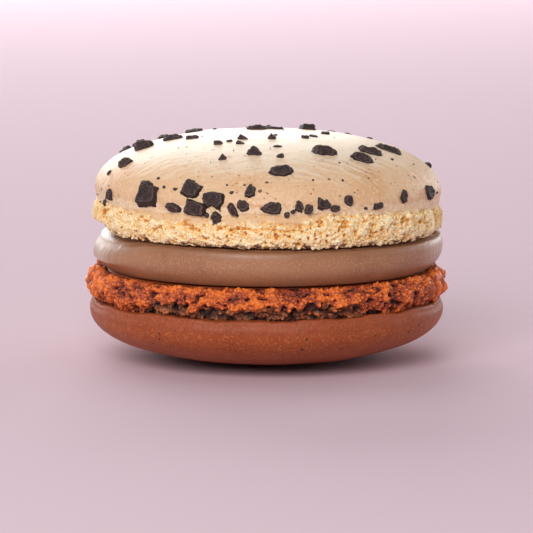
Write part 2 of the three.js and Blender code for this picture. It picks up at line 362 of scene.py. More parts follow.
@dataclass(frozen=True)
class Setting:
    """Where the pieces stand in the macaron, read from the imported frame."""

    lower_bond: float
    ganache_base: float
    upper_bond: float
    thickness: float = 4.5
    lean_degrees: float = 0.7
    slip: float = 0.2

    @classmethod
    def from_frame(cls) -> "Setting":
        """Reads the heights from the CAD nodes' boxes.

        Returns:
            The setting, in millimetres.
        """
        lower_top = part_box("bottom_shell")[1].z / MM
        ganache_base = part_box("ganache_filling")[0].z / MM
        gap = ganache_base - lower_top
        return cls(lower_top, ganache_base, ganache_base + cls.thickness + gap)

    def leaned(self, place: Vector) -> Vector:
        """Returns the place after the upper half has leaned and slid towards +X.

        Args:
            place: the point before.

        Returns:
            The point after.
        """
        share = min(1.0, max(0.0, (place.z - self.ganache_base) / self.thickness))
        drop = math.tan(math.radians(self.lean_degrees)) * place.x * share
        return Vector((place.x + self.slip, place.y, place.z - drop))

    def set_lower(self, place: Vector) -> Vector:
        """Returns where a point of the lower shell's own frame stands."""
        return Vector((place.x, -place.y, self.lower_bond - place.z))

    def set_upper(self, place: Vector) -> Vector:
        """Returns where a point of the upper shell's own frame stands."""
        return self.leaned(Vector((place.x, place.y, self.upper_bond + place.z)))

    def set_ganache(self, place: Vector) -> Vector:
        """Returns where a point of the ganache's own frame stands."""
        return self.leaned(Vector((place.x, place.y, self.ganache_base + place.z)))


class Workpiece:
    """A bmesh that is being shaped in millimetres, and becomes one piece of the macaron."""

    def __init__(self, name: str) -> None:
        """Starts an empty piece with the name that its object will have."""
        self.name = name
        self.mesh = bmesh.new()

    def spin(self, section: Section, steps: int, cuts: int, closed: bool) -> None:
        """Turns a section about the vertical axis, and cuts each step of the turn finer.

        Args:
            section: radius and height of each point.
            steps: how many flats the turn has at first.
            cuts: how many cuts each flat then gets.
            closed: whether the section's last point joins its first.
        """
        mesh = self.mesh
        points = [mesh.verts.new((radius, 0.0, height)) for radius, height in section]
        pairs = list(zip(points, points[1:]))
        if closed:
            pairs.append((points[-1], points[0]))
        geom = points + [mesh.edges.new(pair) for pair in pairs]
        turn = {"cent": (0, 0, 0), "axis": (0, 0, 1), "angle": math.tau}
        bmesh.ops.spin(mesh, geom=geom, steps=steps, use_merge=True, **turn)
        bmesh.ops.remove_doubles(mesh, verts=mesh.verts[:], dist=MERGE_MM)
        reach = mesh.verts.layers.float.new("reach")
        for vert in mesh.verts:
            vert[reach] = vert.co.xy.length
        around = [edge for edge in mesh.edges if self.runs_around(edge)]
        bmesh.ops.subdivide_edges(mesh, edges=around, cuts=cuts)
        for vert in mesh.verts:
            if vert.co.xy.length > 0:
                vert.co.xy *= vert[reach] / vert.co.xy.length
        mesh.verts.layers.float.remove(reach)
        bmesh.ops.recalc_face_normals(mesh, faces=mesh.faces[:])

    @staticmethod
    def runs_around(edge: bmesh.types.BMEdge) -> bool:
        """Tells whether an edge lies along the turn, with both ends at one height and radius."""
        near, far = (vert.co for vert in edge.verts)
        return abs(near.z - far.z) < MERGE_MM and abs(near.xy.length - far.xy.length) < MERGE_MM

    def reshape(self, rule: Place) -> None:
        """Moves each vertex to where the rule puts it."""
        for vert in self.mesh.verts:
            vert.co = rule(vert.co)

    def number(self, name: str, rule: Callable[[Vector], float]) -> None:
        """Stores on each vertex the number that the rule gives its place, for the materials to read.

        Args:
            name: the attribute's name.
            rule: gives the number for a place.
        """
        layer = self.mesh.verts.layers.float.new(name)
        for vert in self.mesh.verts:
            vert[layer] = rule(vert.co)

    def finish(self, place: Place, material: bpy.types.Material, node: str) -> bpy.types.Object:
        """Sets the piece in the macaron and makes it an object.

        Args:
            place: takes a point of the piece's frame to the macaron's.
            material: the finish.
            node: the CAD node that it stands for.

        Returns:
            The new object, at the origin, with its place in its mesh.
        """
        self.reshape(place)
        bmesh.ops.scale(self.mesh, vec=(MM, MM, MM), verts=self.mesh.verts[:])
        bmesh.ops.recalc_face_normals(self.mesh, faces=self.mesh.faces[:])
        for face in self.mesh.faces:
            face.smooth = True
        data = bpy.data.meshes.new(self.name)
        self.mesh.to_mesh(data)
        self.mesh.free()
        data.materials.append(material)
        made = bpy.data.objects.new(self.name, data)
        bpy.context.scene.collection.objects.link(made)
        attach(made, BODY)
        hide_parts(node)
        LOG.info("%s: %d faces", self.name, len(data.polygons))
        return made


class Nodes:
    """Adds and joins shader nodes in one tree."""

    def __init__(self, tree: bpy.types.NodeTree) -> None:
        """Works on the given tree."""
        self.tree = tree

    def add(self, kind: str, settings: dict | None = None, **inputs: object) -> bpy.types.Node:
        """Adds one node.

        Args:
            kind: the node's type name, without the ShaderNode prefix.
            settings: properties of the node itself.
            **inputs: values or sockets for its inputs, with _ for a space in their names.

        Returns:
            The node.
        """
        node = self.tree.nodes.new("ShaderNode" + kind)
        for name, value in (settings or {}).items():
            setattr(node, name, value)
        for name, value in inputs.items():
            self.feed(node.inputs[name.replace("_", " ")], value)
        return node

    def feed(self, socket: Socket, value: object) -> None:
        """Joins a socket to an input, or sets the input's own value.

        Args:
            socket: the input.
            value: a socket to join to it, or its own value.
        """
        if isinstance(value, Socket):
            self.tree.links.new(value, socket)
        else:
            socket.default_value = value

    def feed_all(self, sockets: list[Socket], values: tuple) -> None:
        """Feeds each socket in turn with its own value or socket."""
        for socket, value in zip(sockets, values):
            self.feed(socket, value)

    def math(self, operation: str, *values: object) -> Socket:
        """Returns the result of a Math node on up to three values or sockets.

        Args:
            operation: what the node does.
            *values: values or sockets, up to three.

        Returns:
            The result.
        """
        node = self.add("Math", {"operation": operation})
        self.feed_all(node.inputs, values)
        return node.outputs[0]

    def times(self, first: object, second: object) -> Socket:
        """Returns the product of two values or sockets."""
        return self.math("MULTIPLY", first, second)

    def times_plus(self, first: object, second: object, third: object) -> Socket:
        """Returns the product of the first two, with the third added."""
        return self.math("MULTIPLY_ADD", first, second, third)

    def vector_math(self, operation: str, first: object, second: object) -> Socket:
        """Returns the result of a Vector Math node on two vectors.

        Args:
            operation: what the node does.
            first: a vector or socket.
            second: another.

        Returns:
            The result.
        """
        node = self.add("VectorMath", {"operation": operation})
        self.feed_all(node.inputs, (first, second))
        return node.outputs[0]

    def mix(self, share: object, first: object, second: object) -> Socket:
        """Returns a colour mixed from two by a share.

        Args:
            share: 0 for the first colour, 1 for the second.
            first: a colour or socket.
            second: another.

        Returns:
            The mixed colour.
        """
        node = self.add("Mix", {"data_type": "RGBA"})
        self.feed_all([node.inputs[0], node.inputs[6], node.inputs[7]], (share, first, second))
        return node.outputs[2]

    def between(
        self, value: object, low: float, high: float, first: float = 0.0, last: float = 1.0
    ) -> Socket:
        """Returns a value taken smoothly from the range low to high to the range first to last.

        Args:
            value: the value or socket.
            low: where the rise starts.
            high: where it ends.
            first: the result at low and below.
            last: the result at high and above.

        Returns:
            The result.
        """
        node = self.add("MapRange", {"interpolation_type": "SMOOTHSTEP"})
        names = ("Value", "From Min", "From Max", "To Min", "To Max")
        self.feed_all([node.inputs[name] for name in names], (value, low, high, first, last))
        return node.outputs[0]

    def noise(self, vector: object, size_mm: float, detail: float = 3.0, roughness: float = 0.55) -> Socket:
        """Returns noise with features of a size in millimetres."""
        values = {"Scale": 1 / (size_mm * MM), "Detail": detail, "Roughness": roughness}
        return self.add("TexNoise", Vector=vector, **values).outputs["Fac"]

    def swayed(self, vector: object, scale: object, reach: object) -> Socket:
        """Returns a vector moved about by noise.

        Args:
            vector: where the pattern is read.
            scale: the noise's scale.
            reach: how far the noise moves it, in metres.

        Returns:
            The moved vector.
        """
        sway = self.add("TexNoise", Vector=vector, Scale=scale, Detail=1.0)
        centred = self.vector_math("SUBTRACT", sway.outputs["Color"], (0.5, 0.5, 0.5))
        spread = self.add("VectorMath", {"operation": "SCALE"}, Scale=reach)
        self.feed(spread.inputs[0], centred)
        return self.vector_math("ADD", vector, spread.outputs[0])

    def scaled(self, vector: object, x: float, y: float, z: float) -> Socket:
        """Returns a vector with each part multiplied."""
        return self.add("Mapping", Vector=vector, Scale=(x, y, z)).outputs[0]

    def where(self) -> Socket:
        """Returns the place on the object."""
        return self.add("TexCoord").outputs["Object"]

    def attribute(self, name: str) -> Socket:
        """Returns a number that the mesh carries."""
        return self.add("Attribute", {"attribute_name": name}).outputs["Fac"]

    def bump(self, height: Socket, depth_mm: float, under: Socket | None = None) -> Socket:
        """Returns the normal of relief with a depth in millimetres, laid over the relief under it.

        Args:
            height: the relief, from 0 to 1.
            depth_mm: how deep it is.
            under: the normal of the relief under it.

        Returns:
            The normal.
        """
        node = self.add("Bump", Strength=1.0, Distance=depth_mm * MM, Height=height)
        if under is not None:
            self.feed(node.inputs["Normal"], under)
        return node.outputs[0]


class Effects:
    """Shader groups that several finishes share, each made once."""

    @staticmethod
    def start(name: str, inputs: dict[str, str], outputs: dict[str, str]) -> tuple:
        """Starts a group with named sockets.

        Args:
            name: the group's name.
            inputs: socket type by input name.
            outputs: socket type by output name.

        Returns:
            The group's node builder, the values that it is given and the results that it puts out.
        """
        tree = bpy.data.node_groups.new(name, "ShaderNodeTree")
        for way, sockets in (("INPUT", inputs), ("OUTPUT", outputs)):
            for socket, kind in sockets.items():
                tree.interface.new_socket(socket, in_out=way, socket_type="NodeSocket" + kind)
        given = tree.nodes.new("NodeGroupInput").outputs
        return Nodes(tree), given, tree.nodes.new("NodeGroupOutput").inputs

    @staticmethod
    @cache
    def specks() -> bpy.types.NodeTree:
        """Returns the group that scatters small specks: one to a cell, kept by chance."""
        inputs = {"Vector": "Vector", "Scale": "Float", "Share": "Float", "Width": "Float"}
        nodes, given, put = Effects.start("specks", inputs, {"Mask": "Float"})
        vector, scale = given["Vector"], given["Scale"]
        bend = nodes.add("TexNoise", Vector=vector, Scale=nodes.times(scale, 2.0), Detail=1.0)
        cells = nodes.add("TexVoronoi", Vector=vector, Scale=scale)
        uneven = nodes.times_plus(bend.outputs["Fac"], 0.24, cells.outputs["Distance"])
        chance = nodes.add("SeparateColor", Color=cells.outputs["Color"]).outputs
        kept = nodes.math("LESS_THAN", chance[0], given["Share"])
        reach = nodes.math("ADD", nodes.times(given["Width"], chance[1]), 0.12)
        soft = nodes.between(nodes.math("SUBTRACT", reach, uneven), 0.0, 0.06)
        nodes.feed(put["Mask"], nodes.times(kept, soft))
        return nodes.tree

    @staticmethod
    @cache
    def mottle() -> bpy.types.NodeTree:
        """Returns the group that varies a colour in soft patches and fine grain."""
        inputs = {"Vector": "Vector", "Colour": "Color", "Patch": "Color", "Grain": "Color"}
        inputs |= {"Patch Scale": "Float", "Grain Scale": "Float"}
        nodes, given, put = Effects.start("mottle", inputs, {"Colour": "Color", "Grain": "Float"})
        patch = nodes.add("TexNoise", Vector=given["Vector"], Scale=given["Patch Scale"], Detail=3.0)
        grain = nodes.add("TexNoise", Vector=given["Vector"], Scale=given["Grain Scale"], Detail=2.0)
        patchy = nodes.between(patch.outputs["Fac"], 0.42, 0.66)
        grainy = nodes.between(grain.outputs["Fac"], 0.5, 0.68)
        toned = nodes.mix(patchy, given["Colour"], given["Patch"])
        nodes.feed(put["Colour"], nodes.mix(grainy, toned, given["Grain"]))
        nodes.feed(put["Grain"], grain.outputs["Fac"])
        return nodes.tree

    @staticmethod
    @cache
    def crumb() -> bpy.types.NodeTree:
        """Returns the group that colours crumb by its depth: dark pits, toasted sides and pale tips, partly
        the crumb's own toasting and partly painted shade in the pits and painted light on the tips.
        """
        inputs = {"Vector": "Vector", "Tone": "Float", "Scale": "Float", "Amount": "Float", "Open": "Float"}
        inputs |= {"Pit": "Color", "Side": "Color", "Tip": "Color"}
        nodes, given, put = Effects.start("crumb", inputs, {"Colour": "Color", "Height": "Float"})
        vector, scale = given["Vector"], given["Scale"]
        bent = nodes.swayed(vector, scale, nodes.math("DIVIDE", 1.1, scale))
        edges = nodes.add("TexVoronoi", {"feature": "DISTANCE_TO_EDGE"}, Vector=bent, Scale=scale)
        granule = nodes.between(edges.outputs["Distance"], 0.0, 0.2)
        cells = nodes.add("TexVoronoi", Vector=bent, Scale=scale)
        pitted = nodes.between(cells.outputs["Distance"], 0.1, 0.4)
        grain = nodes.times_plus(nodes.math("SUBTRACT", pitted, granule), given["Open"], granule)
        fine = nodes.add("TexNoise", Vector=vector, Scale=nodes.times(scale, 2.2), Detail=3.0)
        coarse = nodes.add("TexNoise", Vector=vector, Scale=nodes.times(scale, 0.3), Detail=2.0)
        lace = nodes.times_plus(fine.outputs["Fac"], 1.3, nodes.times(grain, 0.6))
        height = nodes.times(nodes.math("SUBTRACT", lace, 1.05), given["Amount"])
        shade = nodes.times_plus(nodes.math("SUBTRACT", coarse.outputs["Fac"], 0.5), 0.6, given["Tone"])
        tone = nodes.math("ADD", height, shade)
        # Painted shade in the pits and painted light on the tips, over the crumb's own toasted colours.
        toasted = nodes.mix(nodes.between(tone, 0.0, 0.4), given["Pit"], given["Side"])
        tipped = nodes.mix(nodes.between(tone, 0.4, 0.85), toasted, given["Tip"])
        nodes.feed(put["Colour"], tipped)
        nodes.feed(put["Height"], height)
        return nodes.tree

    @staticmethod
    def place(nodes: Nodes, group: bpy.types.NodeTree, **inputs: object) -> bpy.types.bpy_prop_collection:
        """Places a group in a material, with its own values.

        Args:
            nodes: the material's node builder.
            group: the group.
            **inputs: values or sockets for its inputs, with _ for a space in their names.

        Returns:
            The placed group's outputs.
        """
        return nodes.add("Group", {"node_tree": group}, **inputs).outputs


@dataclass(frozen=True)
class Surface:
    """What a finish sets on its shader, the same all over."""

    name: str
    specular: float
    coat: float
    coat_roughness: float
    subsurface: float
    subsurface_mm: float
    roughness: float
    subsurface_spread: Triple = (1.0, 0.55, 0.3)

    def start(self) -> tuple[bpy.types.Material, Nodes]:
        """Makes the material, empty, and returns it with its node builder.

        Returns:
            The material and its node builder.
        """
        material = bpy.data.materials.new(self.name)
        material.use_nodes = True
        material.node_tree.nodes.clear()
        return material, Nodes(material.node_tree)

    def cover(self, nodes: Nodes, colour: Socket, rough: Socket, normal: Socket) -> None:
        """Adds the shader and the output.

        Args:
            nodes: the material's node builder.
            colour: the colour over the surface.
            rough: the roughness over the surface.
            normal: the normal, with all the fine relief in it.
        """
        shader = nodes.add("BsdfPrincipled", Base_Color=colour, Roughness=rough, Normal=normal)
        for name, value in (
            ("Specular IOR Level", self.specular),
            ("Coat Weight", self.coat),
            ("Coat Roughness", self.coat_roughness),
            ("Subsurface Weight", self.subsurface),
            ("Subsurface Radius", self.subsurface_spread),
            ("Subsurface Scale", self.subsurface_mm * MM),
        ):
            shader.inputs[name].default_value = value
        nodes.add("OutputMaterial", Surface=shader.outputs[0])


@dataclass(frozen=True)
class Mottled:
    """A ground colour with soft patches and fine grain in it."""

    colour: Colour
    patch: Colour
    grain: Colour
    patch_mm: float
    grain_mm: float

    def lay(self, nodes: Nodes, where: Socket) -> bpy.types.bpy_prop_collection:
        """Places the mottle in a material and returns its outputs, Colour and Grain.

        Args:
            nodes: the material's node builder.
            where: the place on the object.

        Returns:
            The outputs, Colour and Grain.
        """
        scales = {"Patch_Scale": 1 / (self.patch_mm * MM), "Grain_Scale": 1 / (self.grain_mm * MM)}
        colours = {"Colour": self.colour, "Patch": self.patch, "Grain": self.grain}
        return Effects.place(nodes, Effects.mottle(), Vector=where, **colours, **scales)


@dataclass(frozen=True)
class ToastedAndShaded:
    """Colours of baked crumb in its pits, on its sides and on its tips, and how open it is; the dark pits are
    partly painted shade and the pale tips partly painted light.
    """

    pit: Colour
    side: Colour
    tip: Colour
    size_mm: float
    openness: float

    def lay(self, nodes: Nodes, where: Socket, tone: object, amount: object) -> bpy.types.bpy_prop_collection:
        """Places the crumb in a material.

        Args:
            nodes: the material's node builder.
            where: the place on the object.
            tone: how high the place lies in the relief, from 0 to 1.
            amount: how strongly the fine crumb shows.

        Returns:
            The outputs, Colour and Height.
        """
        colours = {"Pit": self.pit, "Side": self.side, "Tip": self.tip}
        values = {"Tone": tone, "Amount": amount, "Open": self.openness, "Scale": 1 / (self.size_mm * MM)}
        return Effects.place(nodes, Effects.crumb(), Vector=where, **colours, **values)


@dataclass(frozen=True)
class SkinFinish:
    """The smooth baked skin of a shell: mottled, finely wrinkled and specked, and torn open at its lip, with
    a painted sheen that pales it towards the crown and along the wrinkles there.
    """

    surface: Surface
    ground: Mottled
    # crown: the colour of the painted sheen that the skin pales to towards its crown
    crown: Colour
    speck: Colour
    fleck: Colour
    torn: ToastedAndShaded
    speck_mm: float
    speck_share: float
    wrinkle_mm: float
    wrinkle_depth_mm: float
    torn_from: float
    torn_share: float
    torn_depth_mm: float
    speck_width: float = 0.36
    fleck_fineness: float = 1.8
    grain_depth_mm: float = 0.02

    def specks(self, nodes: Nodes, where: Socket, share: Socket, fineness: float) -> Socket:
        """Returns a mask of specks, of which the fineness sets the size."""
        values = {"Share": share, "Width": self.speck_width, "Scale": fineness / (self.speck_mm * MM)}
        return Effects.place(nodes, Effects.specks(), Vector=where, **values)["Mask"]

    def material(self) -> bpy.types.Material:
        """Builds the material.

        Returns:
            The material.
        """
        material, nodes = self.surface.start()
        where = nodes.where()
        flow = nodes.scaled(nodes.swayed(where, 1 / (5 * MM), 2.4 * MM), 0.3, 1.0, 0.3)
        ground = self.ground.lay(nodes, where)
        wrinkles = nodes.noise(flow, self.wrinkle_mm, 3.0, 0.6)
        # Painted sheen: the colour pales to the crown colour towards the crown and along its wrinkles, and
        # the specks fade under it.
        rise = nodes.times_plus(nodes.noise(flow, 4.0), 0.5, nodes.attribute("crown"))
        pale = nodes.between(nodes.times_plus(wrinkles, 1.4, rise), 1.35, 1.95)
        colour = nodes.mix(pale, ground["Colour"], self.crown)
        below = nodes.between(pale, 0.2, 1.0, 0.9, 0.15)
        gathering = nodes.noise(where, 12.0, 1.0)
        gathered = nodes.between(gathering, 0.42, 0.6, 0.15 * self.speck_share, self.speck_share)
        flecks = self.specks(nodes, where, nodes.times(gathered, 2.0), self.fleck_fineness)
        specks = self.specks(nodes, where, gathered, 1.0)
        for mask, tint in ((flecks, self.fleck), (specks, self.speck)):
            colour = nodes.mix(nodes.times(mask, below), colour, tint)
        ragged = nodes.times_plus(nodes.noise(where, 0.7, 4.0, 0.7), 1.3, nodes.attribute("lip"))
        torn = nodes.between(ragged, self.torn_from, self.torn_from + 0.25)
        crumb = self.torn.lay(nodes, where, 0.45, 1.0)
        colour = nodes.mix(nodes.times(torn, self.torn_share), colour, crumb["Colour"])
        roughness = self.surface.roughness
        rough = nodes.between(wrinkles, 0.3, 0.7, roughness - 0.07, roughness + 0.07)
        folds = nodes.bump(wrinkles, self.wrinkle_depth_mm)
        grain = nodes.bump(ground["Grain"], self.grain_depth_mm, folds)
        tears = nodes.bump(nodes.times(crumb["Height"], torn), self.torn_depth_mm, grain)
        self.surface.cover(nodes, colour, rough, tears)
        return material


@dataclass(frozen=True)
class FootFinish:
    """The open crumb of a shell's foot, coloured by how deep each place lies, partly its own toasting and
    partly painted shade and light.
    """

    surface: Surface
    crust: ToastedAndShaded
    open: ToastedAndShaded
    skin: Colour
    amount: float
    calm_amount: float
    depth_mm: float

    def material(self) -> bpy.types.Material:
        """Builds the material.

        Returns:
            The material.
        """
        material, nodes = self.surface.start()
        where = nodes.where()
        tone = nodes.attribute("tone")
        amount = nodes.between(nodes.attribute("calm"), 0.0, 1.0, self.amount, self.calm_amount)
        crust, inside = (part.lay(nodes, where, tone, amount) for part in (self.crust, self.open))
        crumb = nodes.mix(nodes.attribute("crust"), inside["Colour"], crust["Colour"])
        colour = nodes.mix(nodes.attribute("skin"), crumb, self.skin)
        roughness = self.surface.roughness
        rough = nodes.between(tone, 0.2, 0.9, roughness + 0.1, roughness - 0.1)
        self.surface.cover(nodes, colour, rough, nodes.bump(crust["Height"], self.depth_mm))
        return material


@dataclass(frozen=True)
class GanacheFinish:
    """Soft chocolate ganache, smoothed by the press of the shells, with a fine grain and streaks, a painted
    reflection at its two ends and painted shade towards the two shells.
    """

    surface: Surface
    ground: Mottled
    # the near-white colour of the painted reflection at the two ends
    painted_reflection: Colour
    # the darker colour of the painted shade towards the two shells
    edge: Colour
    streak_depth_mm: float
    grain_depth_mm: float
    painted_reflection_share: float = 0.4

    def material(self) -> bpy.types.Material:
        """Builds the material.

        Returns:
            The material.
        """
        material, nodes = self.surface.start()
        where = nodes.where()
        ground = self.ground.lay(nodes, where)
        streaks = nodes.noise(nodes.scaled(where, 1.0, 1.0, 0.12), 0.5, 2.0)
        # Painted reflection: the two ends pale in streaks towards a near-white colour.
        ends = nodes.times_plus(nodes.attribute("end"), 0.8, streaks)
        # Painted shade: the colour darkens away from the bulge towards the two shells.
        painted_shade_mix = nodes.mix(nodes.attribute("bulge"), self.edge, ground["Colour"])
        colour = nodes.mix(nodes.between(ends, 0.66, 1.3, 0.0, self.painted_reflection_share), painted_shade_mix, self.painted_reflection)
        roughness = self.surface.roughness
        rough = nodes.between(streaks, 0.3, 0.7, roughness - 0.05, roughness + 0.05)
        folds = nodes.bump(streaks, self.streak_depth_mm)
        self.surface.cover(nodes, colour, rough, nodes.bump(ground["Grain"], self.grain_depth_mm, folds))
        return material


@dataclass(frozen=True)
class CookieFinish:
    """Dark cocoa cookie: near black, with paler fine ridges and a painted highlight in a band just inside its
    rim.
    """

    surface: Surface
    ground: Mottled
    # crumb: the pale colour of the ridges, and of the painted highlight along the rim
    crumb: Colour
    line_mm: float
    depth_mm: float

    def material(self) -> bpy.types.Material:
        """Builds the material.

        Returns:
            The material.
        """
        material, nodes = self.surface.start()
        where = nodes.where()
        ground = self.ground.lay(nodes, where)
        inward = nodes.attribute("inward")
        waver = nodes.times(nodes.noise(where, 0.6, 2.0), 7.0)
        line = nodes.math("SINE", nodes.times_plus(inward, math.tau / self.line_mm, waver))
        drawn = nodes.between(nodes.noise(where, 0.5, 2.0), 0.45, 0.6)
        ridge = nodes.times(nodes.between(line, 0.45, 1.0), drawn)
        # Painted highlight: a pale band just inside the shard's rim.
        rim = nodes.times(nodes.between(inward, 0.02, 0.07), nodes.between(inward, 0.07, 0.16, 0.45, 0.0))
        pale = nodes.math("MAXIMUM", nodes.times(ridge, 0.8), rim)
        colour = nodes.mix(pale, ground["Colour"], self.crumb)
        roughness = self.surface.roughness
        rough = nodes.between(ground["Grain"], 0.3, 0.7, roughness - 0.1, roughness + 0.1)
        broken = nodes.times_plus(ridge, 0.8, ground["Grain"])
        self.surface.cover(nodes, colour, rough, nodes.bump(broken, self.depth_mm))
        return material


CREAM_SKIN = SkinFinish(
    surface=Surface("cream_skin", 0.6, 0.2, 0.42, 0.12, 0.9, roughness=0.5),
    ground=Mottled(linear(227, 186, 143), linear(219, 172, 124), linear(234, 198, 158), 6.0, 0.4),
    # The crown colour is a painted sheen.
    crown=linear(238, 214, 185), speck=linear(96, 52, 36), fleck=linear(190, 112, 56),
    torn=ToastedAndShaded(linear(226, 170, 102), linear(246, 212, 166), linear(252, 228, 192), 0.34, openness=1.0),
    speck_mm=0.95, speck_share=0.36, wrinkle_mm=0.6, wrinkle_depth_mm=0.3,
    torn_from=1.2, torn_share=0.9, torn_depth_mm=0.05,
)
BROWN_SKIN = SkinFinish(
    surface=Surface("brown_skin", 0.36, 0.0, 0.45, 0.06, 0.6, roughness=0.55),
    ground=Mottled(linear(165, 80, 39), linear(157, 73, 35), linear(188, 104, 58), 5.0, 0.3),
    # The crown colour, a painted sheen, matches the ground colour here, so no sheen shows.
    crown=linear(165, 80, 39), speck=linear(92, 42, 24), fleck=linear(196, 112, 66),
    torn=ToastedAndShaded(linear(98, 44, 30), linear(140, 64, 38), linear(166, 82, 46), 0.26, openness=1.0),
    speck_mm=0.7, speck_share=0.3, wrinkle_mm=0.7, wrinkle_depth_mm=0.012,
    torn_from=0.85, torn_share=0.6, torn_depth_mm=0.03,
)
CREAM_FOOT = FootFinish(
    surface=Surface("cream_foot", 0.35, 0.0, 0.5, 0.12, 0.5, roughness=0.7),
    # Pit colours are partly painted shade, and tip colours partly painted light.
    crust=ToastedAndShaded(linear(206, 134, 54), linear(244, 198, 128), linear(255, 236, 194), 0.42, openness=0.8),
    open=ToastedAndShaded(linear(44, 26, 20), linear(92, 60, 44), linear(150, 108, 80), 0.42, openness=0.8),
    skin=linear(228, 188, 144), amount=1.0, calm_amount=0.35, depth_mm=0.045,
)
BROWN_FOOT = FootFinish(
    surface=Surface("brown_foot", 0.45, 0.0, 0.5, 0.05, 0.4, roughness=0.5),
    # Pit colours are partly painted shade, and tip colours partly painted light.
    crust=ToastedAndShaded(linear(76, 29, 23), linear(176, 74, 36), linear(244, 126, 46), 0.4, openness=0.25),
    open=ToastedAndShaded(linear(36, 21, 16), linear(118, 66, 42), linear(194, 114, 66), 0.4, openness=0.25),
    skin=linear(172, 88, 47), amount=0.72, calm_amount=0.35, depth_mm=0.08,
)
GANACHE = GanacheFinish(
    surface=Surface("ganache", 0.42, 0.1, 0.32, 0.1, 0.8, roughness=0.4),
    ground=Mottled(linear(169, 119, 84), linear(157, 108, 75), linear(185, 136, 102), 5.0, 0.2),
    # The near-white colour is a painted reflection at the two ends, and the edge colour a painted shade
    # towards the two shells.
    painted_reflection=linear(226, 206, 196), edge=linear(142, 98, 70), streak_depth_mm=0.04, grain_depth_mm=0.03,
)
COOKIE = CookieFinish(
    surface=Surface("cookie", 0.32, 0.0, 0.4, 0.0, 0.1, roughness=0.55),
    ground=Mottled(linear(48, 35, 35), linear(62, 46, 44), linear(48, 35, 35), 0.9, 0.18),
    # The crumb colour serves both the ridges and the painted highlight along the shards' rims.
    crumb=linear(136, 106, 94), line_mm=0.28, depth_mm=0.1,
)


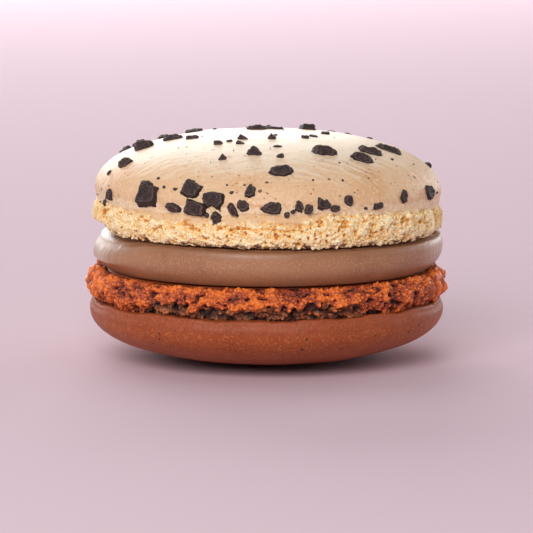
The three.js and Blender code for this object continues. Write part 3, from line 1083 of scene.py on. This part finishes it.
@dataclass
class Shell:
    """One baked shell: a smooth skin over a craggy foot."""

    prefix: str
    form: ShellForm
    crumb: Crumb
    place: Place
    node: str
    slot: str
    skin_finish: SkinFinish
    foot_finish: FootFinish
    wobble: float = 0.09
    wobble_size: float = 8.0
    wobble_lean: float = 1.6
    lip_wave: float = 0.22
    lip_wave_size: float = 5.0
    lip_fray: float = 0.0
    lip_round: float = 0.4
    lip_tuck: float = 0.55
    lip_roll: float = 0.1
    rim_rise: float = 0.0
    rim_turn: float = -130.0
    core_inset: float = 1.1
    core_base: float = 0.02
    core_top: float = 0.9
    foot_overlap: float = 0.35
    foot_thickness: float = 1.9
    fray_size: float = 0.45
    skin_cover: float = 0.85
    lip_rings: int = 9
    side_rings: int = 5
    dome_rings: int = 64
    skin_steps: int = 48
    skin_cuts: int = 14
    foot_rings: int = 52
    waist_rings: int = 6
    foot_steps: int = 48
    foot_cuts: int = 29

    def skin_section(self) -> Section:
        """Draws the skin's section, with the core that the foot wraps round.

        Returns:
            Radius and height of each point, from the axis at the bond face to the crown.
        """
        form, base = self.form, self.core_base
        core = form.bond_radius - self.core_inset
        inner = min(form.waist_radius, form.lip_radius) - self.lip_tuck
        section = [(0.0, base), (0.6 * core, base), (core, base), (core, form.waist_height * self.core_top)]
        section += [(inner, form.lip_height - 0.35), (inner + 0.3, form.lip_height - 0.42)]
        for ring in range(self.lip_rings + 1):
            turn = QUARTER * ring / self.lip_rings
            radius = form.lip_radius - 0.6 * self.lip_round * (1 - math.sin(turn))
            height = form.lip_height - self.lip_round * math.cos(turn) + self.lip_roll * math.sin(turn)
            section.append((radius, height))
        for ring in range(1, self.side_rings):
            share = ring / self.side_rings
            radius = blend(form.lip_radius, form.dome_radius, math.sin(QUARTER * share))
            section.append((radius, blend(form.lip_height + self.lip_roll, form.equator_height, share)))
        for ring in range(self.dome_rings + 1):
            section.append(form.dome_point(QUARTER * (1 - ring / self.dome_rings)))
        section[-1] = (0.0, section[-1][1])
        return section

    def near_lip(self, place: Vector) -> float:
        """Returns 1 at the skin's lower lip, falling to 0 where the dome proper begins.

        Args:
            place: a point of the evenly turned skin.

        Returns:
            The share, from 0 to 1.
        """
        form = self.form
        rise = ease(form.waist_height * self.core_top, form.lip_height - 0.3, place.z)
        return rise * (1 - ease(form.lip_height + 0.2, form.equator_height + 1.2, place.z))

    def near_crown(self, place: Vector) -> float:
        """Returns 0 up to the dome's equator, rising to 1 at the crown, and so spreads the skin's painted
        sheen.
        """
        form = self.form
        return ease(form.equator_height - 0.5, form.equator_height + form.dome_height, place.z)

    def bake_skin(self, place: Vector) -> Vector:
        """Returns a skin point after baking has made the dome and its lip a little uneven.

        Args:
            place: a point of the evenly turned skin.

        Returns:
            The point after.
        """
        form = self.form
        radius = math.hypot(place.x, place.y)
        crown = form.equator_height + form.dome_height
        swell = self.wobble * ease(form.lip_height - 0.5, form.equator_height + 1.5, place.z)
        swell *= bumps(place, self.wobble_size, (3.1, 8.2, 5.7))
        if form.crown_cut:
            swell *= 1 - ease(crown - 1.2, crown - 0.3, place.z)
        outward = Vector((place.x, place.y, self.wobble_lean * (place.z - form.equator_height)))
        moved = place + outward.normalized() * 2 * swell
        if radius > form.bond_radius - self.core_inset - 1:
            near = self.near_lip(place)
            around = Vector((place.x, place.y, 40.0))
            wave = 1.6 * bumps(around, self.lip_wave_size) + 0.6 * bumps(around, 0.3 * self.lip_wave_size)
            fray = bumps(place, 0.9) + 0.7 * bumps(place, 0.4)
            moved.z += near * (self.lip_wave * wave + self.lip_fray * fray)
            moved.xy *= 1 + near * self.lip_fray * 0.5 * bumps(place, 0.6, (5, 5, 5)) / radius
        return form.risen(moved)

    def make_skin(self) -> bpy.types.Object:
        """Builds the smooth skin and its core.

        Returns:
            The new object.
        """
        piece = Workpiece(f"{self.prefix}_skin")
        piece.spin(self.skin_section(), self.skin_steps, self.skin_cuts, closed=False)
        piece.number("lip", self.near_lip)
        piece.number("crown", self.near_crown)
        piece.reshape(self.bake_skin)
        return piece.finish(self.place, self.skin_finish.material(), self.node)

    def foot_section(self) -> Section:
        """Draws the foot's closed section, with its hidden side inside the shell.

        Returns:
            Radius and height of each point, outer side first.
        """
        form = self.form
        hidden = form.bond_radius - self.core_inset + self.foot_overlap
        section = [(hidden, 0.0), (0.5 * (hidden + form.bond_radius), 0.0)]
        for ring in range(self.foot_rings + 1):
            even = ring / self.foot_rings
            share = 0.5 - 0.5 * math.cos(math.pi * even)
            section.append(form.foot_point(blend(share, even, 0.5)))
        seam = form.lip_height - 0.1
        for ring in range(1, self.waist_rings + 1):
            section.append((form.waist_radius, blend(form.waist_height, seam, ring / self.waist_rings)))
        return section + [(form.waist_radius - 0.5, form.lip_height), (hidden, seam)]

    def rim(self, place: Vector) -> float:
        """Returns how far the foot's rim stands up beside the ganache, most at one side.

        Args:
            place: the point on the smooth foot.

        Returns:
            The height, which is below the bond face, so less than 0.
        """
        form = self.form
        turn = math.atan2(place.y, place.x) - math.radians(self.rim_turn)
        beside = ease(form.bond_radius, form.bond_radius + 0.35, math.hypot(place.x, place.y))
        return -self.rim_rise * ease(0.35, 0.95, math.cos(turn)) * beside * (1 - ease(0.0, 1.6, place.z))

    def roughen(self, place: Vector, lift: float) -> Vector:
        """Returns a foot point after its crumb has pushed it out and its lower edge has frayed.

        Args:
            place: the point on the smooth foot.
            lift: how far the crumb stands out there.

        Returns:
            The moved point.
        """
        form = self.form
        radius = math.hypot(place.x, place.y)
        push = lift * ease(form.bond_radius - 0.7, form.bond_radius + 0.1, radius)
        core = Vector((form.foot_radius - self.foot_thickness, 0.5 * form.waist_height))
        aside = Vector((radius - core.x, 0.8 * (place.z - core.y))).normalized()
        grown = 1 + push * aside.x / radius
        drop = self.crumb.fray * bumps(place, self.fray_size)
        drop *= 1 - ease(0.0, 0.2, place.z / form.waist_height)
        drop *= ease(form.bond_radius - 0.2, form.bond_radius + 0.2, radius)
        height = place.z + push * aside.y + self.rim(place) + drop
        return form.risen(Vector((place.x * grown, place.y * grown, height)))

    def make_foot(self) -> bpy.types.Object:
        """Builds the foot, with its lumps, bubbles and hollows as real relief.

        Returns:
            The new object.
        """
        crumb = self.crumb
        piece = Workpiece(f"{self.prefix}_foot")
        piece.spin(self.foot_section(), self.foot_steps, self.foot_cuts, closed=True)
        floats = piece.mesh.verts.layers.float
        toned, crusted, calmed, skinned = [floats.new(name) for name in ("tone", "crust", "calm", "skin")]
        for vert in piece.mesh.verts:
            place = vert.co.copy()
            rise = place.z / self.form.waist_height
            vert[crusted] = crust = crumb.crust(place, rise)
            lift, vert[toned] = crumb.shape(place, rise, crust)
            vert[calmed] = crumb.calm(place)
            vert[skinned] = self.skin_cover * crumb.skin(place, rise)
            vert.co = self.roughen(place, lift)
        return piece.finish(self.place, self.foot_finish.material(), self.node)


@dataclass
class Ganache:
    """The ganache layer, squeezed out to a soft bulge between the shells."""

    setting: Setting
    foot_radius: float = 20.7
    bulge_radius: float = 22.2
    bulge_height: float = 2.5
    shoulder_height: float = 4.35
    shoulder_fullness: float = 3.4
    neck_radius: float = 21.3
    face_share: float = 0.9
    sway: float = 0.08
    sway_size: float = 7.0
    ripple: float = 0.07
    ripple_size: float = 0.7
    slump: float = 1.6
    slump_turn: float = 184.0
    rings: int = 28
    steps: int = 48
    cuts: int = 11

    def section(self) -> Section:
        """Draws the section from the axis below, over the bulge, to the axis above.

        Returns:
            Radius and height of each point.
        """
        thickness = self.setting.thickness
        points = [(0.0, 0.0), (self.face_share * self.foot_radius, 0.0)]
        for ring in range(self.rings):
            share = ring / self.rings
            radius = blend(self.foot_radius, self.bulge_radius, math.sin(QUARTER * share))
            points.append((radius, self.bulge_height * share))
        power = 2 / self.shoulder_fullness
        for ring in range(self.rings + 1):
            angle = QUARTER * ring / self.rings
            radius = blend(self.neck_radius, self.bulge_radius, max(0.0, math.cos(angle)) ** power)
            points.append((radius, blend(self.bulge_height, self.shoulder_height, math.sin(angle) ** power)))
        points.append((self.neck_radius - 0.1, thickness))
        return points + [(self.face_share * self.neck_radius, thickness), (0.0, thickness)]

    def near_end(self, place: Vector) -> float:
        """Returns 1 at the two ends of the bulge, where the ganache carries a painted reflection, and 0 in
        front.
        """
        radius = max(1.0, math.hypot(place.x, place.y))
        return ease(0.82, 1.0, abs(place.x) / radius) * ease(0.3, 1.8, place.z) * ease(18, 21, radius)

    def near_bulge(self, place: Vector) -> float:
        """Returns 1 round the fullest part of the side, falling towards the two shells, where the colour
        darkens as painted shade.
        """
        return ease(-0.9, 1.9, place.z) * (1 - 0.7 * ease(3.0, 4.5, place.z))

    def settle(self, place: Vector) -> Vector:
        """Returns a point of the ganache after it has spread a little unevenly and slumped at one end.

        Args:
            place: a point of the evenly turned ganache.

        Returns:
            The point after.
        """
        towards = math.cos(math.atan2(place.y, place.x) - math.radians(self.slump_turn))
        edge = ease(self.neck_radius - 0.9, self.bulge_radius, math.hypot(place.x, place.y))
        drop = self.slump * ease(0.72, 0.97, towards) * edge * ease(0.5, 3.5, place.z)
        rippled = ease(0.75, 0.95, abs(towards)) * bumps(Vector((place.x, place.y, 0)), self.ripple_size)
        spread = self.sway * bumps(place, self.sway_size) + self.ripple * rippled
        grown = 1 + spread / self.bulge_radius
        return Vector((place.x * grown, place.y * grown, place.z - drop))

    def make(self) -> bpy.types.Object:
        """Builds the ganache.

        Returns:
            The new object.
        """
        piece = Workpiece("ganache")
        piece.spin(self.section(), self.steps, self.cuts, closed=False)
        piece.number("end", self.near_end)
        piece.number("bulge", self.near_bulge)
        piece.reshape(self.settle)
        return piece.finish(self.setting.set_ganache, GANACHE.material(), "ganache_filling")


@dataclass(frozen=True)
class Seat:
    """A place on a shell's skin, with the directions that a shard is laid by."""

    place: Vector
    outward: Vector
    level: Vector


class SkinLine:
    """Length along a shell's section from the crown, to find places on its skin."""

    def __init__(self, form: ShellForm, steps: int = 400) -> None:
        """Measures the section from the crown to the lip.

        Args:
            form: the shell's form.
            steps: how many lengths the section is measured in.
        """
        self.entries: list[Triple] = []
        length = 0.0
        for step in range(steps + 1):
            radius, height = form.dome_point(QUARTER * step / steps)
            if self.entries:
                _, last_radius, last_height = self.entries[-1]
                length += math.hypot(radius - last_radius, height - last_height)
            self.entries.append((length, radius, height))
        drop = math.hypot(form.equator_height - form.lip_height, form.dome_radius - form.lip_radius)
        self.entries.append((length + drop, form.lip_radius, form.lip_height))

    def seat(self, from_crown: float, degrees: float) -> Seat:
        """Finds a place on the skin.

        Args:
            from_crown: length along the skin from the crown.
            degrees: degrees round from +X.

        Returns:
            The seat there, in the shell's own frame.
        """
        found = next((i for i, entry in enumerate(self.entries) if entry[0] >= from_crown), -1)
        following = max(1, found)
        before, after = self.entries[following - 1], self.entries[following]
        share = (from_crown - before[0]) / (after[0] - before[0])
        turn = math.radians(degrees)
        x, y = math.cos(turn), math.sin(turn)
        radius, height = blend(before[1], after[1], share), blend(before[2], after[2], share)
        out, up = before[2] - after[2], after[1] - before[1]
        outward = Vector((out * x, out * y, up)).normalized()
        return Seat(Vector((radius * x, radius * y, height)), outward, Vector((-y, x, 0.0)))


class ShardForm(Enum):
    """Outlines of broken cookie, as corners round a square one unit wide."""

    PLATE = (
        (0.46, 0.08), (0.44, 0.34), (0.12, 0.4), (-0.34, 0.48), (-0.44, 0.4),
        (-0.42, 0.0), (-0.42, -0.42), (-0.24, -0.54), (0.2, -0.5), (0.3, -0.2),
    )
    KITE = (
        (0.5, 0.1), (0.3, 0.4), (0.0, 0.5), (-0.42, 0.42),
        (-0.5, 0.0), (-0.46, -0.36), (-0.1, -0.5), (0.28, -0.3),
    )
    BLOCK = ((0.5, 0.32), (0.1, 0.44), (-0.44, 0.5), (-0.5, -0.36), (0.0, -0.5), (0.46, -0.38))
    OVAL = (
        (0.5, 0.0), (0.36, 0.34), (0.0, 0.48), (-0.38, 0.4),
        (-0.5, 0.0), (-0.32, -0.4), (0.04, -0.5), (0.38, -0.34),
    )
    NOTCHED = (
        (0.5, -0.09), (0.44, 0.36), (-0.08, 0.48), (-0.42, 0.3),
        (-0.5, 0.0), (-0.2, -0.42), (-0.03, -0.26), (0.34, -0.5),
    )
    WEDGE = ((0.5, -0.06), (0.12, 0.3), (-0.4, 0.5), (-0.5, 0.1), (-0.4, -0.42), (0.1, -0.5))
    SLAB = ((0.5, 0.16), (0.2, 0.5), (-0.26, 0.34), (-0.5, 0.4), (-0.42, -0.3), (0.0, -0.5), (0.42, -0.34))

    @classmethod
    def drawn(cls, draw: float) -> "ShardForm":
        """Returns an outline for a number from 0 to 1, out of all but the plate."""
        forms = [form for form in cls if form is not cls.PLATE]
        return forms[int(draw * len(forms))]

    def reach(self, turn: float) -> float:
        """Measures how far the outline lies from its middle.

        Args:
            turn: the direction, in radians.

        Returns:
            The distance, in units of the square's width.
        """
        direction = Vector((math.cos(turn), math.sin(turn)))
        across = Vector((-direction.y, direction.x))
        corners = [Vector(corner) for corner in self.value]
        for near, far in zip(corners, corners[1:] + corners[:1]):
            before, after = near.dot(across), far.dot(across)
            if before <= 0 < after and near.dot(direction) + far.dot(direction) > 0:
                share = before / (before - after)
                return near.lerp(far, share).dot(direction)
        return 0.5


@dataclass(frozen=True)
class Shard:
    """One shard: where it lies, its size in millimetres, its turn and its tip forwards in degrees."""

    degrees: float
    from_crown: float
    length: float
    width: float
    turn: float
    tip: float
    form: ShardForm


NEAR_SHARDS = (
    Shard(-133, 23.5, 3.5, 3.3, 78, 0, ShardForm.PLATE),
    Shard(-169, 16.2, 2.4, 2.3, 10, 35, ShardForm.BLOCK),
    Shard(-157, 19.9, 2.2, 1.9, 5, 20, ShardForm.OVAL),
    Shard(-154, 24.5, 1.6, 1.5, 85, 0, ShardForm.WEDGE),
    Shard(171, 18.8, 1.7, 1.3, 0, 25, ShardForm.SLAB),
    Shard(170, 17.0, 1.6, 1.2, 0, 25, ShardForm.BLOCK),
    Shard(-171, 12.2, 2.7, 1.6, 0, 25, ShardForm.SLAB),
    Shard(164, 14.0, 1.4, 1.0, 0, 15, ShardForm.OVAL),
    Shard(-158, 10.4, 1.7, 1.0, 0, 25, ShardForm.BLOCK),
    Shard(157, 10.3, 2.3, 1.2, 0, 12, ShardForm.SLAB),
    Shard(-116, 22.5, 2.6, 2.3, -25, 5, ShardForm.BLOCK),
    Shard(-108, 23.7, 2.9, 2.5, -5, 0, ShardForm.NOTCHED),
    Shard(-114, 24.8, 2.9, 2.0, -5, 0, ShardForm.BLOCK),
    Shard(-122, 25.0, 2.3, 1.2, 0, 0, ShardForm.OVAL),
    Shard(-107, 25.9, 1.6, 1.5, -60, 0, ShardForm.NOTCHED),
    Shard(-101, 24.9, 1.9, 1.1, -50, 0, ShardForm.WEDGE),
    Shard(-98, 24.2, 1.6, 1.4, -20, 0, ShardForm.OVAL),
    Shard(-96, 22.3, 2.0, 1.4, 88, 5, ShardForm.WEDGE),
    Shard(-89, 24.4, 2.6, 1.5, 180, 0, ShardForm.KITE),
    Shard(-80, 24.2, 1.5, 1.1, 82, 0, ShardForm.KITE),
    Shard(-77, 24.6, 1.3, 1.2, 90, 0, ShardForm.OVAL),
    Shard(-72, 24.0, 1.9, 1.6, 178, 0, ShardForm.NOTCHED),
    Shard(-68, 24.6, 1.3, 0.9, 12, 0, ShardForm.OVAL),
    Shard(-63, 23.7, 1.4, 1.2, 60, 0, ShardForm.KITE),
    Shard(-52, 24.6, 1.4, 0.9, 10, 0, ShardForm.BLOCK),
    Shard(-40, 23.7, 1.8, 1.4, 82, 0, ShardForm.WEDGE),
    Shard(-23, 23.9, 2.4, 1.9, 20, 0, ShardForm.OVAL),
    Shard(-85, 18.9, 3.2, 2.1, 14, 8, ShardForm.OVAL),
    Shard(-97, 14.0, 2.1, 1.9, 90, 40, ShardForm.KITE),
    Shard(-111, 15.9, 1.3, 1.1, 90, 25, ShardForm.WEDGE),
    Shard(-84, 14.9, 1.1, 0.9, 50, 30, ShardForm.WEDGE),
    Shard(-125, 10.9, 1.1, 0.9, 0, 40, ShardForm.BLOCK),
    Shard(-114, 7.6, 1.5, 1.1, -20, 40, ShardForm.WEDGE),
    Shard(-110, 10.1, 1.3, 0.8, -20, 20, ShardForm.WEDGE),
    Shard(-87, 7.0, 1.5, 1.3, 90, 55, ShardForm.WEDGE),
    Shard(125, 2.5, 2.3, 1.3, 0, 40, ShardForm.SLAB),
    Shard(75, 3.2, 2.3, 0.9, 0, 0, ShardForm.SLAB),
    Shard(-51, 7.4, 1.1, 0.9, 0, 30, ShardForm.BLOCK),
    Shard(-36, 7.0, 1.3, 0.7, -20, 10, ShardForm.SLAB),
    Shard(2, 7.3, 1.1, 0.8, 10, 10, ShardForm.BLOCK),
    Shard(-60, 14.2, 3.1, 2.3, -3, 33, ShardForm.KITE),
    Shard(-45, 16.7, 3.0, 1.9, -6, 25, ShardForm.OVAL),
    Shard(-32, 15.2, 3.1, 1.8, -8, 20, ShardForm.SLAB),
    Shard(-14, 15.9, 3.3, 1.8, -5, 25, ShardForm.SLAB),
)
NEAR_CRUMBS = (
    Shard(-162, 21.9, 0.9, 0.8, 60, 0, ShardForm.OVAL),
    Shard(-159, 25.8, 1.0, 0.9, 90, 0, ShardForm.OVAL),
    Shard(-122, 22.6, 0.9, 0.5, 0, 0, ShardForm.WEDGE),
    Shard(-110, 25.6, 0.7, 0.6, 60, 0, ShardForm.OVAL),
    Shard(-102, 22.6, 0.7, 0.5, 30, 0, ShardForm.WEDGE),
    Shard(-84, 25.3, 0.9, 0.7, 70, 0, ShardForm.OVAL),
    Shard(-82, 24.9, 0.8, 0.6, 30, 0, ShardForm.OVAL),
    Shard(-57, 24.8, 0.5, 0.4, 0, 0, ShardForm.OVAL),
    Shard(-121, 9.4, 0.9, 0.5, 0, 0, ShardForm.SLAB),
    Shard(-84, 11.3, 1.3, 0.6, 0, 0, ShardForm.SLAB),
    Shard(18, 13.8, 1.0, 0.7, 0, 0, ShardForm.WEDGE),
    Shard(-28, 17.8, 0.5, 0.4, 0, 0, ShardForm.OVAL),
    Shard(-104, 21.6, 0.35, 0.3, 0, 0, ShardForm.OVAL),
    Shard(-98, 21.5, 0.4, 0.3, 0, 0, ShardForm.OVAL),
    Shard(-74, 20.6, 0.3, 0.3, 0, 0, ShardForm.OVAL),
    Shard(-63, 20.8, 0.3, 0.3, 0, 0, ShardForm.OVAL),
)


@dataclass
class Cookie:
    """Cookie shards and crumbs baked into the upper shell's skin."""

    form: ShellForm
    place: Place
    thinnest: float = 0.25
    thickness_share: float = 0.3
    shown: float = 0.5
    flat_share: float = 0.62
    taper: float = 0.15
    chips: tuple[float, float] = (0.09, 0.06)
    rough_depths: tuple[float, float] = (0.13, 0.09)
    rough_sizes: tuple[float, float] = (0.7, 0.3)
    rough_width: float = 1.6
    smoothing: float = 0.5
    far_seed: int = 11
    far_count: int = 22
    far_degrees: tuple[float, float] = (5, 170)
    far_crown: tuple[float, float] = (5, 25)
    far_lengths: tuple[float, float] = (3.3, 1.3)
    far_tries: int = 400
    clearance: float = 2.6
    crumb_seed: int = 23
    crumb_count: int = 80
    crumb_crown: tuple[float, float] = (2, 26)
    crumb_lengths: tuple[float, float] = (0.14, 0.7)
    shard_facets: Facets = (52, 28)
    crumb_facets: Facets = (10, 6)

    def far(self, line: SkinLine) -> list[Shard]:
        """Scatters shards over the far half, the largest first, each clear of the others.

        Args:
            line: finds each shard's seat.

        Returns:
            The shards.
        """
        draw = draws_from(self.far_seed)
        spots = [line.seat(shard.from_crown, shard.degrees).place for shard in NEAR_SHARDS]
        made: list[Shard] = []
        for _ in range(self.far_tries):
            share = len(made) / (self.far_count - 1)
            degrees = blend(*self.far_degrees, next(draw))
            from_crown = blend(*self.far_crown, math.sqrt(next(draw)))
            spot = line.seat(from_crown, degrees).place
            if any((other - spot).length < self.clearance for other in spots):
                continue
            spots.append(spot)
            length = blend(*self.far_lengths, share)
            width = length * (0.6 + 0.3 * next(draw))
            turn = 360 * next(draw)
            tip = -30 * next(draw)
            made.append(Shard(degrees, from_crown, length, width, turn, tip, ShardForm.drawn(next(draw))))
            if len(made) == self.far_count:
                break
        return made

    def crumbs(self) -> list[Shard]:
        """Scatters small crumbs over the whole shell, most of them tiny, after the ones in the photo.

        Returns:
            The crumbs.
        """
        draw = draws_from(self.crumb_seed)
        made = list(NEAR_CRUMBS)
        for _ in range(self.crumb_count):
            degrees = 360 * next(draw)
            from_crown = blend(*self.crumb_crown, math.sqrt(next(draw)))
            length = blend(*self.crumb_lengths, next(draw) ** 5)
            turn = 360 * next(draw)
            form = ShardForm.drawn(next(draw))
            made.append(Shard(degrees, from_crown, length, 0.75 * length, turn, 0, form))
        return made

    def break_off(
        self, shard: Shard, thickness: float, facets: Facets, offset: Vector
    ) -> bmesh.types.BMesh:
        """Makes one broken shard, lying flat at the origin.

        Args:
            shard: what is made.
            thickness: how thick it is.
            facets: how many facets it has round, and from top to bottom.
            offset: moves the noise that makes it uneven.

        Returns:
            The shard's mesh, in which each vertex carries how far in from the rim it lies.
        """
        lump = bmesh.new()
        bmesh.ops.create_uvsphere(lump, u_segments=facets[0], v_segments=facets[1], radius=1.0)
        inward = lump.verts.layers.float.new("inward")
        for vert in lump.verts:
            turn = math.atan2(vert.co.y, vert.co.x)
            from_middle = math.asin(min(1.0, max(-1.0, vert.co.z))) / QUARTER
            spread = min(1.0, (1 - abs(from_middle)) / self.flat_share)
            height = math.copysign(min(1.0, abs(from_middle) / (1 - self.flat_share)), from_middle)
            chipped = Vector((1.3 * math.cos(turn), 1.3 * math.sin(turn), 0.0)) + offset
            chip = 1 + self.chips[0] * noise.noise(chipped) + self.chips[1] * noise.noise(3 * chipped)
            reach = chip * shard.form.reach(turn) * (1 - self.taper * height)
            vert[inward] = (1 - spread) * reach * shard.width
            edge = Vector((math.cos(turn) * shard.length, math.sin(turn) * shard.width)) * reach * spread
            vert.co = Vector((edge.x, edge.y, 0.5 * thickness * height))
        axes = {"use_axis_x": True, "use_axis_y": True, "use_axis_z": True}
        bmesh.ops.smooth_vert(lump, verts=lump.verts[:], factor=self.smoothing, **axes)
        share = min(1.0, shard.width / self.rough_width)
        for vert in lump.verts:
            flat = vert.co.copy()
            for depth, size in zip(self.rough_depths, self.rough_sizes):
                vert.co += share * depth * noise.noise_vector(flat / size + offset)
        return lump

    def carve(self, target: Workpiece, line: SkinLine, shard: Shard, facets: Facets, offset: Vector) -> None:
        """Makes one broken shard and sets it in the skin.

        Args:
            target: the piece that gathers the shards.
            line: finds the shard's seat.
            shard: what is made.
            facets: how many facets it has round, and from top to bottom.
            offset: moves the noise that makes it uneven.
        """
        thickness = self.thinnest + self.thickness_share * shard.width
        lump = self.break_off(shard, thickness, facets, offset)
        seat = line.seat(shard.from_crown, shard.degrees)
        upward = seat.outward.cross(seat.level)
        basis = Matrix((seat.level, upward, seat.outward)).transposed().to_4x4()
        across = math.radians(shard.turn - (shard.degrees + 90) * seat.outward.z)
        lift = seat.place + seat.outward * (self.shown - 0.5) * thickness
        tipped = Matrix.Rotation(math.radians(shard.tip), 4, "X")
        stand = Matrix.Translation(lift) @ tipped @ basis @ Matrix.Rotation(across, 4, "Z")
        bmesh.ops.transform(lump, matrix=stand, verts=lump.verts[:])
        gathered = bpy.data.meshes.new("gathered")
        lump.to_mesh(gathered)
        lump.free()
        target.mesh.from_mesh(gathered)
        bpy.data.meshes.remove(gathered)

    def gather(self, name: str, shards: list[Shard], facets: Facets, step: Vector) -> bpy.types.Object:
        """Builds a number of shards as one piece.

        Args:
            name: the piece's name.
            shards: what is made.
            facets: how many facets each has round, and from top to bottom.
            step: how far the noise moves from one to the next.

        Returns:
            The new object.
        """
        line = SkinLine(self.form)
        piece = Workpiece(name)
        for index, shard in enumerate(shards):
            self.carve(piece, line, shard, facets, step * index)
        return piece.finish(self.place, COOKIE.material(), "top_shell")

    def make(self) -> None:
        """Builds the larger shards and then the small crumbs between them, each kind as one piece."""
        shards = [*NEAR_SHARDS, *self.far(SkinLine(self.form))]
        self.gather("cookie_shards", shards, self.shard_facets, Vector((7.3, 0, 0)))
        self.gather("cookie_crumbs", self.crumbs(), self.crumb_facets, Vector((0, 5.1, 0)))


@dataclass(frozen=True)
class SoftLight:
    """A soft rectangular light: where it hangs and its width and height, in metres, and its watts."""

    name: str
    place: Triple
    size: tuple[float, float]
    watts: float


LIGHTS = (
    SoftLight("top_light", (-0.1, 0.24, 0.5), (0.5, 0.3), 0.55),
    SoftLight("back_panel", (-0.2, 0.95, 0.33), (0.6, 0.5), 6.0),
    SoftLight("front_light", (-0.16, -0.6, 0.38), (0.5, 0.4), 4.05),
    SoftLight("left_wall", (-0.75, 0.45, 0.2), (0.9, 0.5), 1.5),
    SoftLight("right_wall", (0.75, 0.45, 0.2), (0.9, 0.5), 2.0),
    SoftLight("left_strip", (-0.48, 0.8, 0.16), (0.25, 0.4), 0.35),
    SoftLight("right_strip", (0.48, 0.8, 0.16), (0.25, 0.4), 1.3),
)


@dataclass
class Studio:
    """A plain pale floor, soft lights and the camera, in metres."""

    frame_px: float = 533.0
    px_per_mm: float = 7.844
    distance: float = 0.48
    elevation: float = 8.0
    aim_height: float = 11.4 * MM
    lit_height: float = 14 * MM
    sensor_mm: float = 36.0
    floor_size: float = 4.0
    floor_colour: Colour = linear(211, 187, 197)
    floor_roughness: float = 0.9
    floor_specular: float = 0.1
    air_colour: Colour = (1.0, 0.95, 0.97, 1.0)
    air_strength: float = 0.22

    def add_camera(self) -> None:
        """Sets the camera at the photograph's angle, a long lens a little above the macaron."""
        tilt = math.radians(self.elevation)
        aim = Vector((0.0, 0.0, self.aim_height))
        back = Vector((0.0, -math.cos(tilt), math.sin(tilt)))
        data = bpy.data.cameras.new("camera")
        data.sensor_width = self.sensor_mm
        data.lens = self.sensor_mm * self.distance / (self.frame_px / self.px_per_mm * MM)
        data.clip_start = 0.01
        camera = bpy.data.objects.new("camera", data)
        camera.location = aim + back * self.distance
        camera.rotation_euler = (-back).to_track_quat("-Z", "Y").to_euler()
        bpy.context.scene.collection.objects.link(camera)
        bpy.context.scene.camera = camera

    def add_lights(self) -> None:
        """Lights the macaron from above and behind, from both sides, and softly from the front."""
        for soft in LIGHTS:
            data = bpy.data.lights.new(soft.name, "AREA")
            data.shape = "RECTANGLE"
            data.size, data.size_y = soft.size
            data.energy = soft.watts
            light = bpy.data.objects.new(soft.name, data)
            light.location = soft.place
            light.visible_camera = False
            towards = Vector((0, 0, self.lit_height)) - Vector(soft.place)
            light.rotation_euler = towards.to_track_quat("-Z", "Y").to_euler()
            bpy.context.scene.collection.objects.link(light)
        world = bpy.data.worlds.new("studio")
        world.use_nodes = True
        background = world.node_tree.nodes["Background"]
        background.inputs["Color"].default_value = self.air_colour
        background.inputs["Strength"].default_value = self.air_strength
        bpy.context.scene.world = world
        bpy.context.scene.view_settings.view_transform = "Standard"

    def add_floor(self) -> None:
        """Lays the plain pale floor."""
        piece = bmesh.new()
        bmesh.ops.create_grid(piece, x_segments=1, y_segments=1, size=self.floor_size)
        data = bpy.data.meshes.new("floor")
        piece.to_mesh(data)
        piece.free()
        material = bpy.data.materials.new("pale_floor")
        material.use_nodes = True
        shader = material.node_tree.nodes["Principled BSDF"]
        shader.inputs["Base Color"].default_value = self.floor_colour
        shader.inputs["Roughness"].default_value = self.floor_roughness
        shader.inputs["Specular IOR Level"].default_value = self.floor_specular
        data.materials.append(material)
        floor = bpy.data.objects.new("floor", data)
        bpy.context.scene.collection.objects.link(floor)


def main() -> None:
    """Builds the macaron and its studio."""
    logging.basicConfig(level=logging.INFO, format="%(name)s: %(message)s", stream=sys.stdout)
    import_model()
    noise.seed_set(NOISE_SEED)
    studio = Studio()
    studio.add_camera()
    setting = Setting.from_frame()
    lower = Shell(
        "lower", LOWER_FORM, LOWER_CRUMB, setting.set_lower, "bottom_shell", "brown_shell",
        BROWN_SKIN, BROWN_FOOT, rim_rise=0.45,
    )
    upper = Shell(
        "upper", UPPER_FORM, UPPER_CRUMB, setting.set_upper, "top_shell", "cream_shell",
        CREAM_SKIN, CREAM_FOOT, lip_fray=0.15, lip_round=0.18,
    )
    for shell in (lower, upper):
        shell.make_skin()
        shell.make_foot()
    Ganache(setting).make()
    Cookie(UPPER_FORM, setting.set_upper).make()
    studio.add_floor()
    studio.add_lights()


if __name__ == "__main__":
    main()
